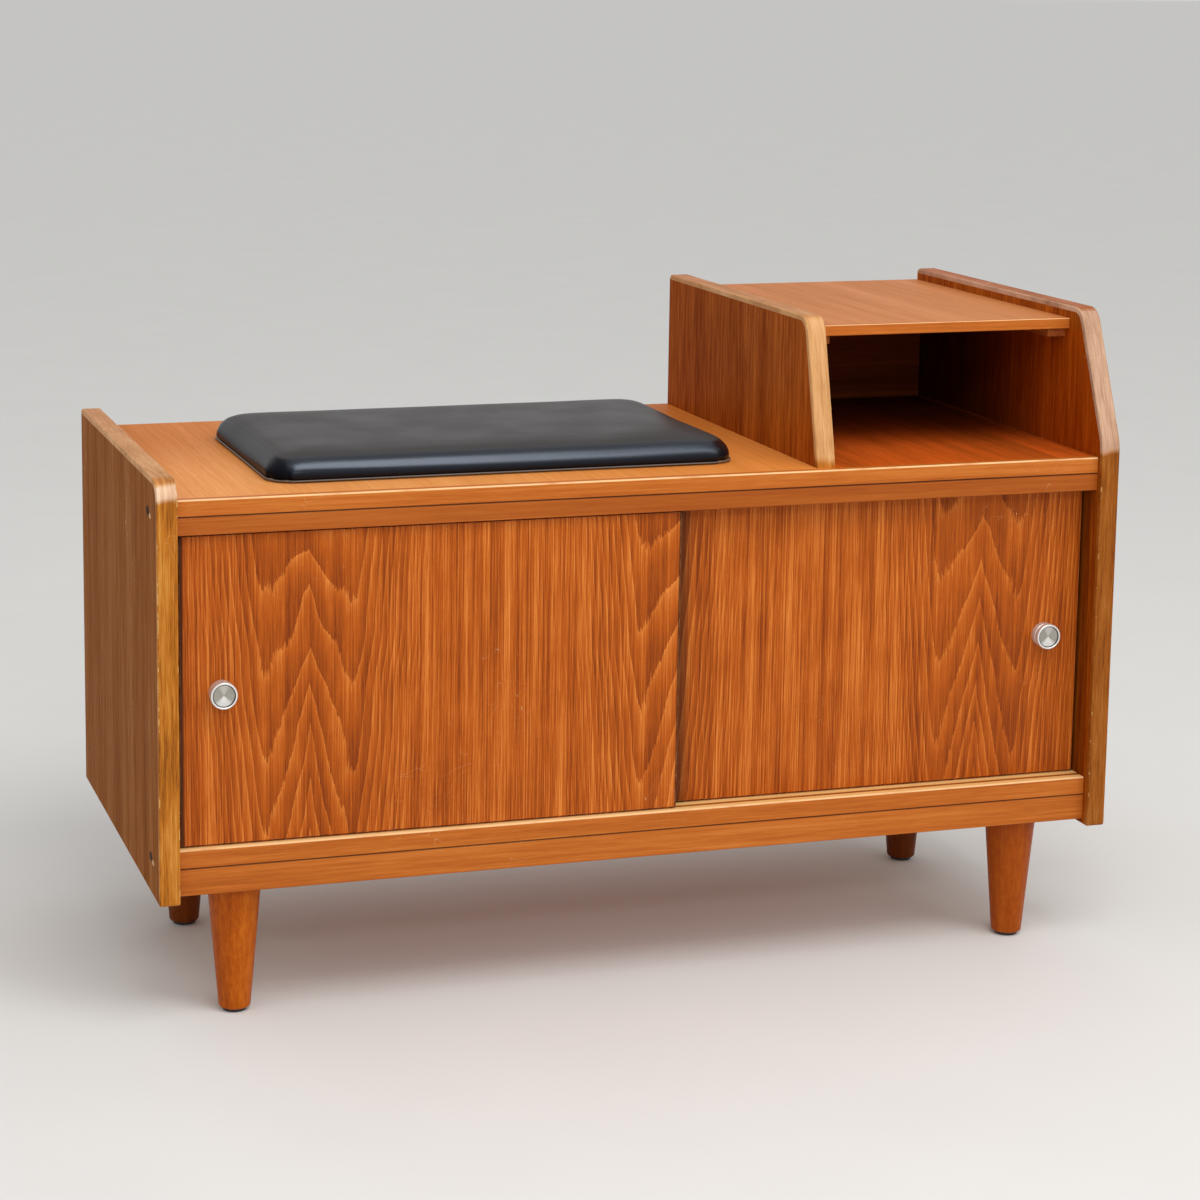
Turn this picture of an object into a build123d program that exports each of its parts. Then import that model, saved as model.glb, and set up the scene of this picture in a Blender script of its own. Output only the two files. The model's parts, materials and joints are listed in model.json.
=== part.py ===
from build123d import *
import os
from math import sqrt

# A telephone bench: a low cabinet with two sliding doors, an upholstered pad on its left part and a raised
# telephone compartment with a shelf on its right part, on four turned legs.
# Millimetres. X runs along the width, the front faces -Y and Z is up. The origin is on the floor, under
# the centre of the box round the side panels.

# ---- overall
bench_width = 900.0
bench_depth = 406.0
panel_foot_height = 114.0      # floor to the underside of the side panels
seat_height = 466.0            # floor to the top face of the bench top
left_panel_rise = 18.0         # the left panel's top, above the seat
compartment_rise = 134.0       # the tops of the divider and the right panel, above the seat

# ---- boards
board_thickness = 18.0         # side panels and divider
lipping_thickness = 5.0
front_corner_radius = 19.0
back_corner_radius = 6.0
foot_corner_radius = 3.0
knee_above_seat = 14.0         # where the right panel's front starts to lean back
knee_radius = 40.0
top_setback = 51.0             # the leaning fronts at the top, behind the panel fronts
panel_edge_round = 1.5
edge_round = 0.8
seam_round = 1.1               # either side of the seam between a lipping and the rail below it

# ---- bench top and its rail
bench_top_thickness = 15.0
front_lipping_width = 8.0
upper_setback = 8.0
upper_rail_height = 16.0
lipping_round = 2.0

# ---- cabinet floor, lower rail and leg bearers
cabinet_floor_height = 160.0   # floor to the top face of the cabinet floor
cabinet_floor_thickness = 17.0
lower_setback = 10.0
lower_rail_height = 24.0
lower_rail_thickness = 18.0
bearer_width = 80.0

# ---- doors and their tracks
door_thickness = 12.0
door_overlap = 48.0
door_side_gap = 3.0
door_end_gap = 2.0             # between a door's shoulders and the board or rail
front_door_setback = 14.5
door_spacing = 3.0
tongue_thickness = 4.0
tongue_side_clearance = 0.5
track_depth_below = 6.0
track_depth_above = 9.0
tongue_seat_clearance = 0.3
tongue_top_clearance = 1.5
rail_behind_track = 6.0
door_edge_round = 0.6

# ---- knobs
knob_diameter = 24.0
knob_projection = 14.0
knob_flange_diameter = 22.0
knob_flange_thickness = 2.2
knob_waist_diameter = 11.0
knob_head_thickness = 5.5
knob_rim_width = 1.6
knob_dish_depth = 1.2
knob_screw_cover = 3.0         # metal left between the screw's tip and the dished face
knob_inset = 36.0              # from the door's outer edge
knob_height = 296.0

# ---- centre partition
partition_thickness = 15.0
partition_clearance = 3.0      # behind the rear door

# ---- divider, telephone compartment and shelf
divider_left_face = 605.0      # from the left end of the bench
divider_setback = 17.5         # the divider's foot, behind the panel fronts
shelf_thickness = 10.0
shelf_drop = 12.0              # the shelf's top face, below the top of the panels
shelf_setback = 73.0
shelf_lipping_width = 5.0
cleat_width = 18.0
cleat_height = 8.0
cleat_front_setback = 8.0
cleat_back_setback = 30.0

# ---- backs
back_thickness = 5.0
back_rebate_depth = 12.0
back_rebate_width = 6.0
back_pin_pitch = 90.0
back_pin_corner_gap = 18.0     # from a back's corner to the first pin along its edge

# ---- legs
leg_inset_side = 74.0
leg_inset_front = 47.0
leg_inset_back = 123.0
leg_top_diameter = 48.0
leg_foot_diameter = 28.0
leg_foot_round = 2.5
glide_diameter = 21.0
glide_thickness = 3.0
glide_round = 0.8
glide_nail_diameter = 2.4
glide_nail_length = 13.0

# ---- seat pad
pad_gap_left = 90.0            # from the left panel's inner face
pad_width = 439.0
pad_gap_front = 55.0           # from the panel fronts
pad_depth = 267.0
pad_height = 26.0
pad_corner_radius = 27.0
pad_side_sag = 1.5
pad_crown_reach = 60.0         # how far in from the sides the top is still curved
# (share of the pad's height, draw-in there as a share of the crown's reach)
pad_side_levels = ((0.0, 0.033), (0.25, 0.0), (0.5, 0.008), (0.74, 0.067), (0.88, 0.183))
pad_crown_levels = ((0.88, 0.183), (0.96, 0.5), (1.0, 1.0))
pad_cover_thickness = 1.2
pad_foam_clearance = 0.3
pad_board_thickness = 6.0
pad_board_inset = 5.5
pad_flange_width = 20.0
pad_screw_inset = 60.0

# ---- fasteners
dowel_diameter = 8.0
dowel_length = 30.0
dowel_in_panel = 12.0
dowel_chamfer = 1.0
dowel_clearance = 0.1
carcass_dowel_count = 4        # at each end of the bench top and of the cabinet floor
partition_dowel_count = 3
dowel_end_gap = 50.0           # from a board's front or back to its first dowel
dowel_rail_gap = 12.0          # behind the door tracks
partition_dowel_gap = 40.0
screw_clearance = 0.1
large_screw_diameter = 4.0
small_screw_diameter = 3.0
floor_screw_length = 34.0
bearer_screw_count = 3
bearer_screw_leg_gap = 40.0    # behind the front leg's axis
bearer_screw_back_gap = 30.0
lower_rail_screw_count = 5
lower_rail_screw_gap = 30.0    # from the rail's end to its first screw
upper_rail_screw_length = 24.0
upper_rail_screw_count = 5
upper_rail_screw_gap = 60.0
divider_screw_length = 40.0
divider_screw_count = 3
divider_screw_front_gap = 20.0
divider_screw_back_gap = 50.0
cleat_screw_length = 28.0
cleat_screw_count = 3
cleat_screw_front_gap = 40.0   # behind the shelf's front
cleat_screw_back_gap = 30.0    # before the cleat's end
pad_screw_length = 19.0
back_pin_diameter = 1.4
back_pin_length = 16.0
compartment_pin_count = 3      # up each side of the compartment's back
compartment_pin_gap = 15.0
side_pin_diameter = 2.0
side_pin_length = 40.0
side_pin_inset = 12.0
hanger_bolt_diameter = 8.0
hanger_bolt_in_leg = 34.0
hanger_bolt_point = 2.0
tee_nut_barrel_diameter = 10.0
tee_nut_barrel_length = 9.0
tee_nut_flange_diameter = 22.0
tee_nut_flange_thickness = 1.6

# ---- places worked out from the sizes above
x_left = -bench_width / 2
x_right = bench_width / 2
x_inner_left = x_left + board_thickness
x_inner_right = x_right - board_thickness
y_front = -bench_depth / 2
y_back = bench_depth / 2
left_top = seat_height + left_panel_rise
right_top = seat_height + compartment_rise
knee_height = seat_height + knee_above_seat
bench_underside = seat_height - bench_top_thickness
rail_underside = bench_underside - upper_rail_height
floor_underside = cabinet_floor_height - cabinet_floor_thickness
bearer_underside = floor_underside - lower_rail_height
x_divider = x_left + divider_left_face
x_compartment = x_divider + board_thickness
z_bench_top = seat_height - bench_top_thickness / 2
z_cabinet_floor = floor_underside + cabinet_floor_thickness / 2
shelf_top = right_top - shelf_drop
shelf_underside = shelf_top - shelf_thickness
y_back_panel = y_back - back_rebate_depth
y_shelf_front = y_front + shelf_setback
y_upper_front = y_front + upper_setback
y_lower_front = y_front + lower_setback
y_front_door = y_front + front_door_setback
y_rear_door = y_front_door + door_thickness + door_spacing
y_front_track = y_front_door + door_thickness / 2
y_rear_track = y_rear_door + door_thickness / 2
track_width = tongue_thickness + 2 * tongue_side_clearance
y_rail_back = y_rear_track + track_width / 2 + rail_behind_track
y_partition = y_rear_door + door_thickness + partition_clearance
door_width = (x_inner_right - x_inner_left - 2 * door_side_gap + door_overlap) / 2
door_foot = cabinet_floor_height + door_end_gap
door_head = rail_underside - door_end_gap
x_left_door = x_inner_left + door_side_gap
x_right_door = x_inner_right - door_side_gap - door_width
x_left_knob = x_left_door + knob_inset
x_right_knob = x_right_door + door_width - knob_inset
x_pad = x_inner_left + pad_gap_left + pad_width / 2
y_pad = y_front + pad_gap_front + pad_depth / 2
knob_screw_length = door_thickness + knob_projection - knob_dish_depth - knob_screw_cover
x_leg = bench_width / 2 - leg_inset_side
y_front_leg = y_front + leg_inset_front
y_rear_leg = y_back - leg_inset_back
leg_places = {
    "front_left": (-x_leg, y_front_leg),
    "front_right": (x_leg, y_front_leg),
    "rear_left": (-x_leg, y_rear_leg),
    "rear_right": (x_leg, y_rear_leg),
}


# ---- shapes used by several sub-parts
def block(x, y, z):
    """A box from three (low, high) pairs."""
    place = Pos((x[0] + x[1]) / 2, (y[0] + y[1]) / 2, (z[0] + z[1]) / 2)
    return place * Box(x[1] - x[0], y[1] - y[0], z[1] - z[0])


def turned(profile):
    """A solid turned about Z from (radius, height) points."""
    points = [(radius, 0, height) for radius, height in profile]
    return revolve(make_face(Polyline(*points, close=True)), Axis.Z)


def along(place, direction):
    """The location that turns +Z to the direction given, at a place."""
    return Plane(origin=place, z_dir=direction).location


def facing(axis, sign, places):
    """Locations at the places given, with +Z turned along an axis or against it."""
    direction = {"X": (sign, 0, 0), "Y": (0, sign, 0), "Z": (0, 0, sign)}[axis]
    return [along(place, direction) for place in places]


def upright_board(x, corners):
    """A board standing in the YZ plane, from (y, z, radius) corners."""
    face = make_face(Polyline(*[(x[0], y, z) for y, z, radius in corners], close=True))
    board = extrude(face, amount=x[1] - x[0], dir=(1, 0, 0))
    for y, z, radius in corners:
        if radius > 0:
            corner = board.edges().filter_by(Axis.X).sort_by_distance((sum(x) / 2, y, z))[0]
            board = fillet(corner, radius)
    return board


def rounded(solid, axis, radius, count, place):
    """Rounds the edges along an axis that lie nearest to a place."""
    edges = solid.edges().filter_by(axis).sort_by_distance(place)[:count]
    return fillet(edges, radius)


def group(solids):
    """Separate solids kept in one node."""
    return Compound(children=[s for solid in solids for s in solid.solids()])


# ---- fasteners: each maker also makes its own hole, which is larger by a clearance
def countersunk_screw(diameter, length, clearance=0.0):
    """A screw with its flat head at z = 0 and its tip up at z = length."""
    r = diameter / 2 + clearance
    head = diameter + clearance
    neck = head - r
    tip = length + clearance
    return turned([(0, 0), (head, 0), (r, neck), (r, tip - diameter), (0, tip)])


def panel_pin(diameter, length, clearance=0.0):
    """A pin with its flat head at z = 0 and its tip up at z = length."""
    r = diameter / 2 + clearance
    head = diameter + clearance
    tip = length + clearance
    return turned([(0, 0), (head, 0), (head, r), (r, r), (r, tip - diameter), (0, tip)])


def divider_screw(clearance=0.0):
    return countersunk_screw(large_screw_diameter, divider_screw_length, clearance)


def upper_rail_screw(clearance=0.0):
    return countersunk_screw(large_screw_diameter, upper_rail_screw_length, clearance)


def floor_screw(clearance=0.0):
    return countersunk_screw(large_screw_diameter, floor_screw_length, clearance)


def cleat_screw(clearance=0.0):
    return countersunk_screw(small_screw_diameter, cleat_screw_length, clearance)


def pad_screw(clearance=0.0):
    return countersunk_screw(small_screw_diameter, pad_screw_length, clearance)


def knob_screw(clearance=0.0):
    return countersunk_screw(large_screw_diameter, knob_screw_length, clearance)


def side_pin(clearance=0.0):
    return panel_pin(side_pin_diameter, side_pin_length, clearance)


def back_pin(clearance=0.0):
    return panel_pin(back_pin_diameter, back_pin_length, clearance)


def dowel(clearance=0.0):
    """A dowel along +Z, with z = 0 where the two boards meet."""
    r = dowel_diameter / 2 + clearance
    end = r - dowel_chamfer
    low = -dowel_in_panel - clearance
    high = dowel_length - dowel_in_panel + clearance
    lower_side = [(end, low), (r, low + dowel_chamfer)]
    upper_side = [(r, high - dowel_chamfer), (end, high)]
    return turned([(0, low), *lower_side, *upper_side, (0, high)])


def spread(low, high, count):
    """Evenly spaced values from low to high, both included."""
    return [low + (high - low) * i / (count - 1) for i in range(count)]


# ---- where the fasteners go
def carcass_dowel_places():
    """Dowels between the two side panels and the bench top and cabinet floor."""
    starts = ((z_bench_top, y_front + dowel_end_gap), (z_cabinet_floor, y_rail_back + dowel_rail_gap))
    places = []
    for level, first in starts:
        rows = spread(first, y_back - dowel_end_gap, carcass_dowel_count)
        places += facing("X", 1, [(x_inner_left, y, level) for y in rows])
        places += facing("X", -1, [(x_inner_right, y, level) for y in rows])
    return places


def partition_dowel_places():
    """Dowels under and over the centre partition."""
    gap = partition_dowel_gap
    rows = spread(y_partition + gap, y_back_panel - gap, partition_dowel_count)
    below = facing("Z", 1, [(0, y, cabinet_floor_height) for y in rows])
    above = facing("Z", -1, [(0, y, bench_underside) for y in rows])
    return below + above


def side_pin_places():
    """Pins through the side panels into the ends of the bench top and the cabinet floor."""
    rows = (y_upper_front + side_pin_inset, y_back_panel - side_pin_inset)
    spots = [(y, level) for level in (z_bench_top, z_cabinet_floor) for y in rows]
    left = facing("X", 1, [(x_left, y, level) for y, level in spots])
    right = facing("X", -1, [(x_right, y, level) for y, level in spots])
    return left + right


def divider_screw_places():
    """Screws up through the bench top into the divider."""
    x = x_divider + board_thickness / 2
    first = y_rail_back + divider_screw_front_gap
    last = y_back - divider_screw_back_gap
    rows = spread(first, last, divider_screw_count)
    return facing("Z", 1, [(x, y, bench_underside) for y in rows])


def upper_rail_screw_places():
    """Screws up between the two tracks into the bench top."""
    y = (y_front_track + y_rear_track) / 2
    gap = upper_rail_screw_gap
    columns = spread(x_inner_left + gap, x_inner_right - gap, upper_rail_screw_count)
    return facing("Z", 1, [(x, y, rail_underside) for x in columns])


def lower_rail_screw_places():
    """Screws up through the lower rail into the cabinet floor, behind its lipping."""
    y = y_lower_front + front_lipping_width + large_screw_diameter
    gap = lower_rail_screw_gap
    columns = spread(x_inner_left + gap, x_inner_right - gap, lower_rail_screw_count)
    return facing("Z", 1, [(x, y, bearer_underside) for x in columns])


def bearer_screw_places():
    """Screws up through the leg bearers into the cabinet floor."""
    first = y_front_leg + bearer_screw_leg_gap
    last = y_back_panel - bearer_screw_back_gap
    rows = spread(first, last, bearer_screw_count)
    return facing("Z", 1, [(x, y, bearer_underside) for x in (-x_leg, x_leg) for y in rows])


def pad_screw_places():
    """Screws up through the bench top into the pad's board."""
    aside = pad_width / 2 - pad_screw_inset
    ahead = pad_depth / 2 - pad_screw_inset
    corners = [(x_pad + i * aside, y_pad + j * ahead) for i in (-1, 1) for j in (-1, 1)]
    return facing("Z", 1, [(x, y, bench_underside) for x, y in corners])


def cleat_screw_places():
    """Screws through each shelf cleat into the board beside it."""
    level = shelf_underside - cleat_height / 2
    first = y_shelf_front + cleat_screw_front_gap
    last = y_back - cleat_back_setback - cleat_screw_back_gap
    rows = spread(first, last, cleat_screw_count)
    left = facing("X", -1, [(x_compartment + cleat_width, y, level) for y in rows])
    right = facing("X", 1, [(x_inner_right - cleat_width, y, level) for y in rows])
    return left + right


def knob_screw_place(x, y_face):
    """A screw from behind a door into its knob."""
    return along((x, y_face + door_thickness, knob_height), (0, -1, 0))


def back_pin_places(x, z, edge):
    """Pins round the edge of a back panel, driven from behind."""
    gap = back_pin_corner_gap
    columns = spread(x[0] + gap, x[1] - gap, max(2, round((x[1] - x[0]) / back_pin_pitch)))
    levels = spread(z[0] + gap, z[1] - gap, max(2, round((z[1] - z[0]) / back_pin_pitch)))
    spots = [(px, pz) for px in columns for pz in (z[0] + edge, z[1] - edge)]
    spots += [(px, pz) for pz in levels for px in (x[0] + edge, x[1] - edge)]
    return facing("Y", -1, [(px, y_back_panel + back_thickness, pz) for px, pz in spots])


def cut_all(solid, tool, places):
    """Cuts the same hole in a solid at each of the places."""
    for place in places:
        solid = solid - place * tool
    return solid


# ---- side panels and divider, each a board with a lipping on its front and top
def inset_path(path, amount):
    """Moves a front-and-top line in by an amount, its corners along their bisectors."""
    steps = [(Vector(*b) - Vector(*a)).normalized() for a, b in zip(path, path[1:])]
    normals = [Vector(step.Y, -step.X) for step in steps]
    moved = []
    for i, point in enumerate(path):
        before = normals[max(i - 1, 0)]
        after = normals[min(i, len(normals) - 1)]
        shift = (before + after) * (amount / (1 + before.dot(after)))
        moved.append((point[0] + shift.X, point[1] + shift.Y))
    return moved


def mitre_planes(path, x):
    """The planes in which the lipping's strips meet, one at each inner corner of its line."""
    planes = []
    for before, corner, after in zip(path, path[1:], path[2:]):
        d1 = (Vector(*corner) - Vector(*before)).normalized()
        d2 = (Vector(*after) - Vector(*corner)).normalized()
        normal = d1 + d2
        planes.append(Plane(origin=(x, corner[0], corner[1]), z_dir=(0, normal.X, normal.Y)))
    return planes


def eased(board, foot):
    """Rounds the edges round a board's two faces, save at the foot of one that stands on the bench top."""
    edges = [edge for edge in board.edges() if abs((edge @ 1 - edge @ 0).X) < board_thickness / 2]
    if foot == seat_height:
        edges = [edge for edge in edges if edge.center().Z > foot + panel_edge_round]
    return fillet(edges, panel_edge_round)


def lipped_board(x, path, radii, foot):
    """A board and its lipping strips. The path runs up the front and back along the top.
    The radii belong to the path's corners, and the last to the board's rear foot."""
    back = path[-1][0]
    whole = upright_board(x, [(y, z, r) for (y, z), r in zip(path + [(back, foot)], radii)])
    whole = eased(whole, foot)
    inner = inset_path(path, lipping_thickness)
    inner_radii = [0] + [r - lipping_thickness for r in radii[1:-2]] + [0]
    inner_corners = [(y, z, r) for (y, z), r in zip(inner, inner_radii)] + [(back, inner[0][1], 0)]
    core_space = upright_board(x, inner_corners)
    strips = [whole - core_space]
    for plane in mitre_planes(path, x[0]):
        halves = [split(strip, bisect_by=plane, keep=Keep.BOTH) for strip in strips]
        strips = [solid for half in halves for solid in half.solids()]
    return whole & core_space, strips


def rebate(x, z):
    """The space that a back panel's rebate takes."""
    return block(x, (y_back_panel, y_back), z)


left_path = [(y_front, panel_foot_height), (y_front, left_top), (y_back, left_top)]
right_path = [
    (y_front, panel_foot_height),
    (y_front, knee_height),
    (y_front + top_setback, right_top),
    (y_back, right_top),
]
divider_path = [
    (y_front + divider_setback, seat_height),
    (y_front + top_setback, right_top),
    (y_back, right_top),
]
cabinet_back_x = (x_inner_left - back_rebate_width, x_inner_right + back_rebate_width)
cabinet_back_z = (floor_underside, bench_underside + back_rebate_width)
compartment_back_x = (x_compartment - back_rebate_width, x_inner_right + back_rebate_width)
compartment_back_z = (seat_height, shelf_underside)


def cabinet_back_pin_places():
    """The cabinet's back has pins all round."""
    return back_pin_places(cabinet_back_x, cabinet_back_z, back_rebate_width / 2)


def compartment_back_pin_places():
    """The compartment's back has pins along its two upright edges only."""
    edge = back_rebate_width / 2
    low, high = compartment_back_z
    levels = spread(low + compartment_pin_gap, high - compartment_pin_gap, compartment_pin_count)
    columns = (compartment_back_x[0] + edge, compartment_back_x[1] - edge)
    return facing("Y", -1, [(x, y_back_panel + back_thickness, z) for x in columns for z in levels])


def drilled(board):
    """Makes the carcass's holes in one of its boards."""
    board = cut_all(board, dowel(dowel_clearance), carcass_dowel_places() + partition_dowel_places())
    board = cut_all(board, side_pin(screw_clearance), side_pin_places())
    board = cut_all(board, back_pin(screw_clearance), cabinet_back_pin_places())
    return cut_all(board, back_pin(screw_clearance), compartment_back_pin_places())


def left_side_panel():
    """The low panel beside the seat."""
    x = (x_left, x_inner_left)
    radii = [foot_corner_radius, front_corner_radius, back_corner_radius, foot_corner_radius]
    core, strips = lipped_board(x, left_path, radii, panel_foot_height)
    core = core - rebate((cabinet_back_x[0], x_inner_left), cabinet_back_z)
    return drilled(core), group(strips)


def right_side_panel():
    """The tall panel beside the compartment, its front leaning back above the seat."""
    x = (x_inner_right, x_right)
    radii = [foot_corner_radius, knee_radius, front_corner_radius, back_corner_radius, foot_corner_radius]
    core, strips = lipped_board(x, right_path, radii, panel_foot_height)
    core = core - rebate((x_inner_right, cabinet_back_x[1]), cabinet_back_z)
    core = core - rebate((x_inner_right, compartment_back_x[1]), compartment_back_z)
    return cut_all(drilled(core), cleat_screw(screw_clearance), cleat_screw_places()), group(strips)


def divider_panel():
    """The board between the seat and the compartment, standing on the bench top."""
    x = (x_divider, x_compartment)
    radii = [0, front_corner_radius, back_corner_radius, 0]
    core, strips = lipped_board(x, divider_path, radii, seat_height)
    core = core - rebate((compartment_back_x[0], x_compartment), compartment_back_z)
    core = cut_all(core, back_pin(screw_clearance), compartment_back_pin_places())
    core = cut_all(core, cleat_screw(screw_clearance), cleat_screw_places())
    core = cut_all(core, divider_screw(screw_clearance), divider_screw_places())
    return core, group(strips)


# ---- bench top, rails, floor
def bench_top():
    """One board under the seat and the compartment."""
    x = (x_inner_left, x_inner_right)
    board = block(x, (y_upper_front + front_lipping_width, y_back), (bench_underside, seat_height))
    board = board - rebate(x, (bench_underside, bench_underside + back_rebate_width))
    board = cut_all(board, divider_screw(screw_clearance), divider_screw_places())
    board = cut_all(board, pad_screw(screw_clearance), pad_screw_places())
    board = cut_all(board, upper_rail_screw(screw_clearance), upper_rail_screw_places())
    return drilled(board)


def front_strip(y_low, width, z):
    """A lipping along a board's front, its two front edges rounded."""
    strip = block((x_inner_left, x_inner_right), (y_low, y_low + width), z)
    strip = rounded(strip, Axis.X, lipping_round, 1, (0, y_low, z[1]))
    strip = rounded(strip, Axis.X, seam_round, 1, (0, y_low, z[0]))
    return cut_all(strip, side_pin(screw_clearance), side_pin_places())


def front_rail(depth, z):
    """A rail under such a lipping, from its front back to the depth given."""
    rail = block((x_inner_left, x_inner_right), depth, z)
    rail = rounded(rail, Axis.X, seam_round, 1, (0, depth[0], z[1]))
    return rounded(rail, Axis.X, edge_round, 1, (0, depth[0], z[0]))


def bench_top_lipping():
    """The strip along the bench top's front."""
    return front_strip(y_upper_front, front_lipping_width, (bench_underside, seat_height))


def cabinet_floor_lipping():
    """The strip along the cabinet floor's front."""
    return front_strip(y_lower_front, front_lipping_width, (floor_underside, cabinet_floor_height))


def tracks(z):
    """The two grooves that the doors' tongues run in."""
    x = (x_inner_left, x_inner_right)
    lanes = [(y - track_width / 2, y + track_width / 2) for y in (y_front_track, y_rear_track)]
    return [block(x, lane, z) for lane in lanes]


def upper_door_rail():
    """The rail under the bench top, with the doors' upper tracks."""
    rail = front_rail((y_upper_front, y_rail_back), (rail_underside, bench_underside))
    for groove in tracks((rail_underside, rail_underside + track_depth_above)):
        rail = rail - groove
    return cut_all(rail, upper_rail_screw(screw_clearance), upper_rail_screw_places())


def cabinet_floor():
    """The floor, with the doors' lower tracks."""
    x = (x_inner_left, x_inner_right)
    y = (y_lower_front + front_lipping_width, y_back_panel)
    board = block(x, y, (floor_underside, cabinet_floor_height))
    for groove in tracks((cabinet_floor_height - track_depth_below, cabinet_floor_height)):
        board = board - groove
    board = cut_all(board, floor_screw(screw_clearance), lower_rail_screw_places() + bearer_screw_places())
    board = cut_all(board, hanger_bolt(screw_clearance), leg_top_places())
    return drilled(board)


def lower_front_rail():
    """The rail under the floor's front."""
    depth = (y_lower_front, y_lower_front + lower_rail_thickness)
    rail = front_rail(depth, (bearer_underside, floor_underside))
    return cut_all(rail, floor_screw(screw_clearance), lower_rail_screw_places())


def leg_bearer(side):
    """The bearer that two legs are bolted to; side is -1 for the left one and 1 for the right one."""
    x = (side * x_leg - bearer_width / 2, side * x_leg + bearer_width / 2)
    y = (y_lower_front + lower_rail_thickness, y_back_panel)
    bearer = block(x, y, (bearer_underside, floor_underside))
    bearer = cut_all(bearer, floor_screw(screw_clearance), bearer_screw_places())
    bearer = cut_all(bearer, hanger_bolt(screw_clearance), leg_top_places())
    return cut_all(bearer, tee_nut(screw_clearance), tee_nut_places())


def centre_partition():
    """An upright board behind the doors that carries the middle of the bench top."""
    x = (-partition_thickness / 2, partition_thickness / 2)
    board = block(x, (y_partition, y_back_panel), (cabinet_floor_height, bench_underside))
    board = cut_all(board, dowel(dowel_clearance), partition_dowel_places())
    return cut_all(board, back_pin(screw_clearance), cabinet_back_pin_places())


def back_panel(x, z, pin_places):
    """A thin board in its rebates, pinned from behind."""
    board = block(x, (y_back_panel, y_back_panel + back_thickness), z)
    return cut_all(board, back_pin(screw_clearance), pin_places)


# ---- telephone shelf
def telephone_shelf():
    """The shelf over the compartment, and the lipping along its front."""
    x = (x_compartment, x_inner_right)
    z = (shelf_underside, shelf_top)
    y_board = y_shelf_front + shelf_lipping_width
    board = block(x, (y_board, y_back), z)
    lipping = block(x, (y_shelf_front, y_board), z)
    lipping = rounded(lipping, Axis.X, edge_round, 2, (0, y_shelf_front, sum(z) / 2))
    return board, lipping


def shelf_cleat(x):
    """A strip under one end of the shelf, screwed to the board beside it."""
    y = (y_shelf_front + cleat_front_setback, y_back - cleat_back_setback)
    cleat = block(x, y, (shelf_underside - cleat_height, shelf_underside))
    return cut_all(cleat, cleat_screw(screw_clearance), cleat_screw_places())


# ---- doors and knobs
def sliding_door(x_low, y_face, knob_x):
    """A door board with a tongue below and above, drilled for its knob."""
    x = (x_low, x_low + door_width)
    board = block(x, (y_face, y_face + door_thickness), (door_foot, door_head))
    front_edges = board.edges().filter_by(Plane.XZ).group_by(Axis.Y)[0]
    board = fillet(front_edges, door_edge_round)
    y_mid = y_face + door_thickness / 2
    lane = (y_mid - tongue_thickness / 2, y_mid + tongue_thickness / 2)
    foot = cabinet_floor_height - track_depth_below + tongue_seat_clearance
    head = rail_underside + track_depth_above - tongue_top_clearance
    board = board + block(x, lane, (foot, door_foot)) + block(x, lane, (door_head, head))
    return board - knob_screw_place(knob_x, y_face) * knob_screw(screw_clearance)


def knob():
    """A turned knob, its base at z = 0: a flange, a narrow waist and a head with a dished face."""
    flange = knob_flange_diameter / 2
    waist = knob_waist_diameter / 2
    head = knob_diameter / 2
    shoulder = knob_projection - knob_head_thickness
    face = head - knob_rim_width
    dish = knob_projection - knob_dish_depth
    profile = [
        (0, 0),
        (flange, 0),
        (flange, knob_flange_thickness),
        (waist, knob_flange_thickness + edge_round),
        (waist, shoulder),
        (head - edge_round, shoulder),
        (head, shoulder + edge_round),
        (head, knob_projection - edge_round / 2),
        (head - edge_round / 2, knob_projection),
        (face, knob_projection),
        (face - edge_round / 2, dish),
        (0, dish - edge_round / 2),
    ]
    return turned(profile) - Pos(0, 0, -door_thickness) * knob_screw(screw_clearance)


def knob_at(x, y_face):
    """A knob on the face of a door."""
    return along((x, y_face, knob_height), (0, -1, 0)) * knob()


# ---- legs
def leg_top_places():
    """Where the legs meet their bearers."""
    return [Pos(x, y, bearer_underside) for x, y in leg_places.values()]


def tee_nut_places():
    """Where the bearers' tee nuts meet the cabinet floor."""
    return [Pos(x, y, floor_underside) for x, y in leg_places.values()]


def hanger_bolt(clearance=0.0):
    """A bolt with z = 0 where the leg meets its bearer, up through the bearer and down into the leg."""
    r = hanger_bolt_diameter / 2 + clearance
    low = -hanger_bolt_in_leg - clearance
    high = lower_rail_height + clearance
    side = [(r - hanger_bolt_point, low), (r, low + hanger_bolt_point), (r, high)]
    return turned([(0, low), *side, (0, high)])


def tee_nut(clearance=0.0):
    """A nut pressed into a bearer from above, its flange's top face at z = 0."""
    barrel = tee_nut_barrel_diameter / 2 + clearance
    flange = tee_nut_flange_diameter / 2 + clearance
    under = -tee_nut_flange_thickness - clearance
    foot = -tee_nut_barrel_length
    return turned([(0, 0), (flange, 0), (flange, under), (barrel, under), (barrel, foot), (0, foot)])


def leg(place):
    """A round tapered leg, its foot resting on its glide."""
    top = leg_top_diameter / 2
    foot = leg_foot_diameter / 2
    z = (glide_thickness, bearer_underside)
    body = turned([(0, z[0]), (foot, z[0]), (top, z[1]), (0, z[1])])
    body = fillet(body.edges().filter_by(GeomType.CIRCLE).group_by(Axis.Z)[0], leg_foot_round)
    body = body - Pos(0, 0, bearer_underside) * hanger_bolt(screw_clearance)
    body = body - glide_nail(screw_clearance)
    return Pos(place[0], place[1], 0) * body


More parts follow.
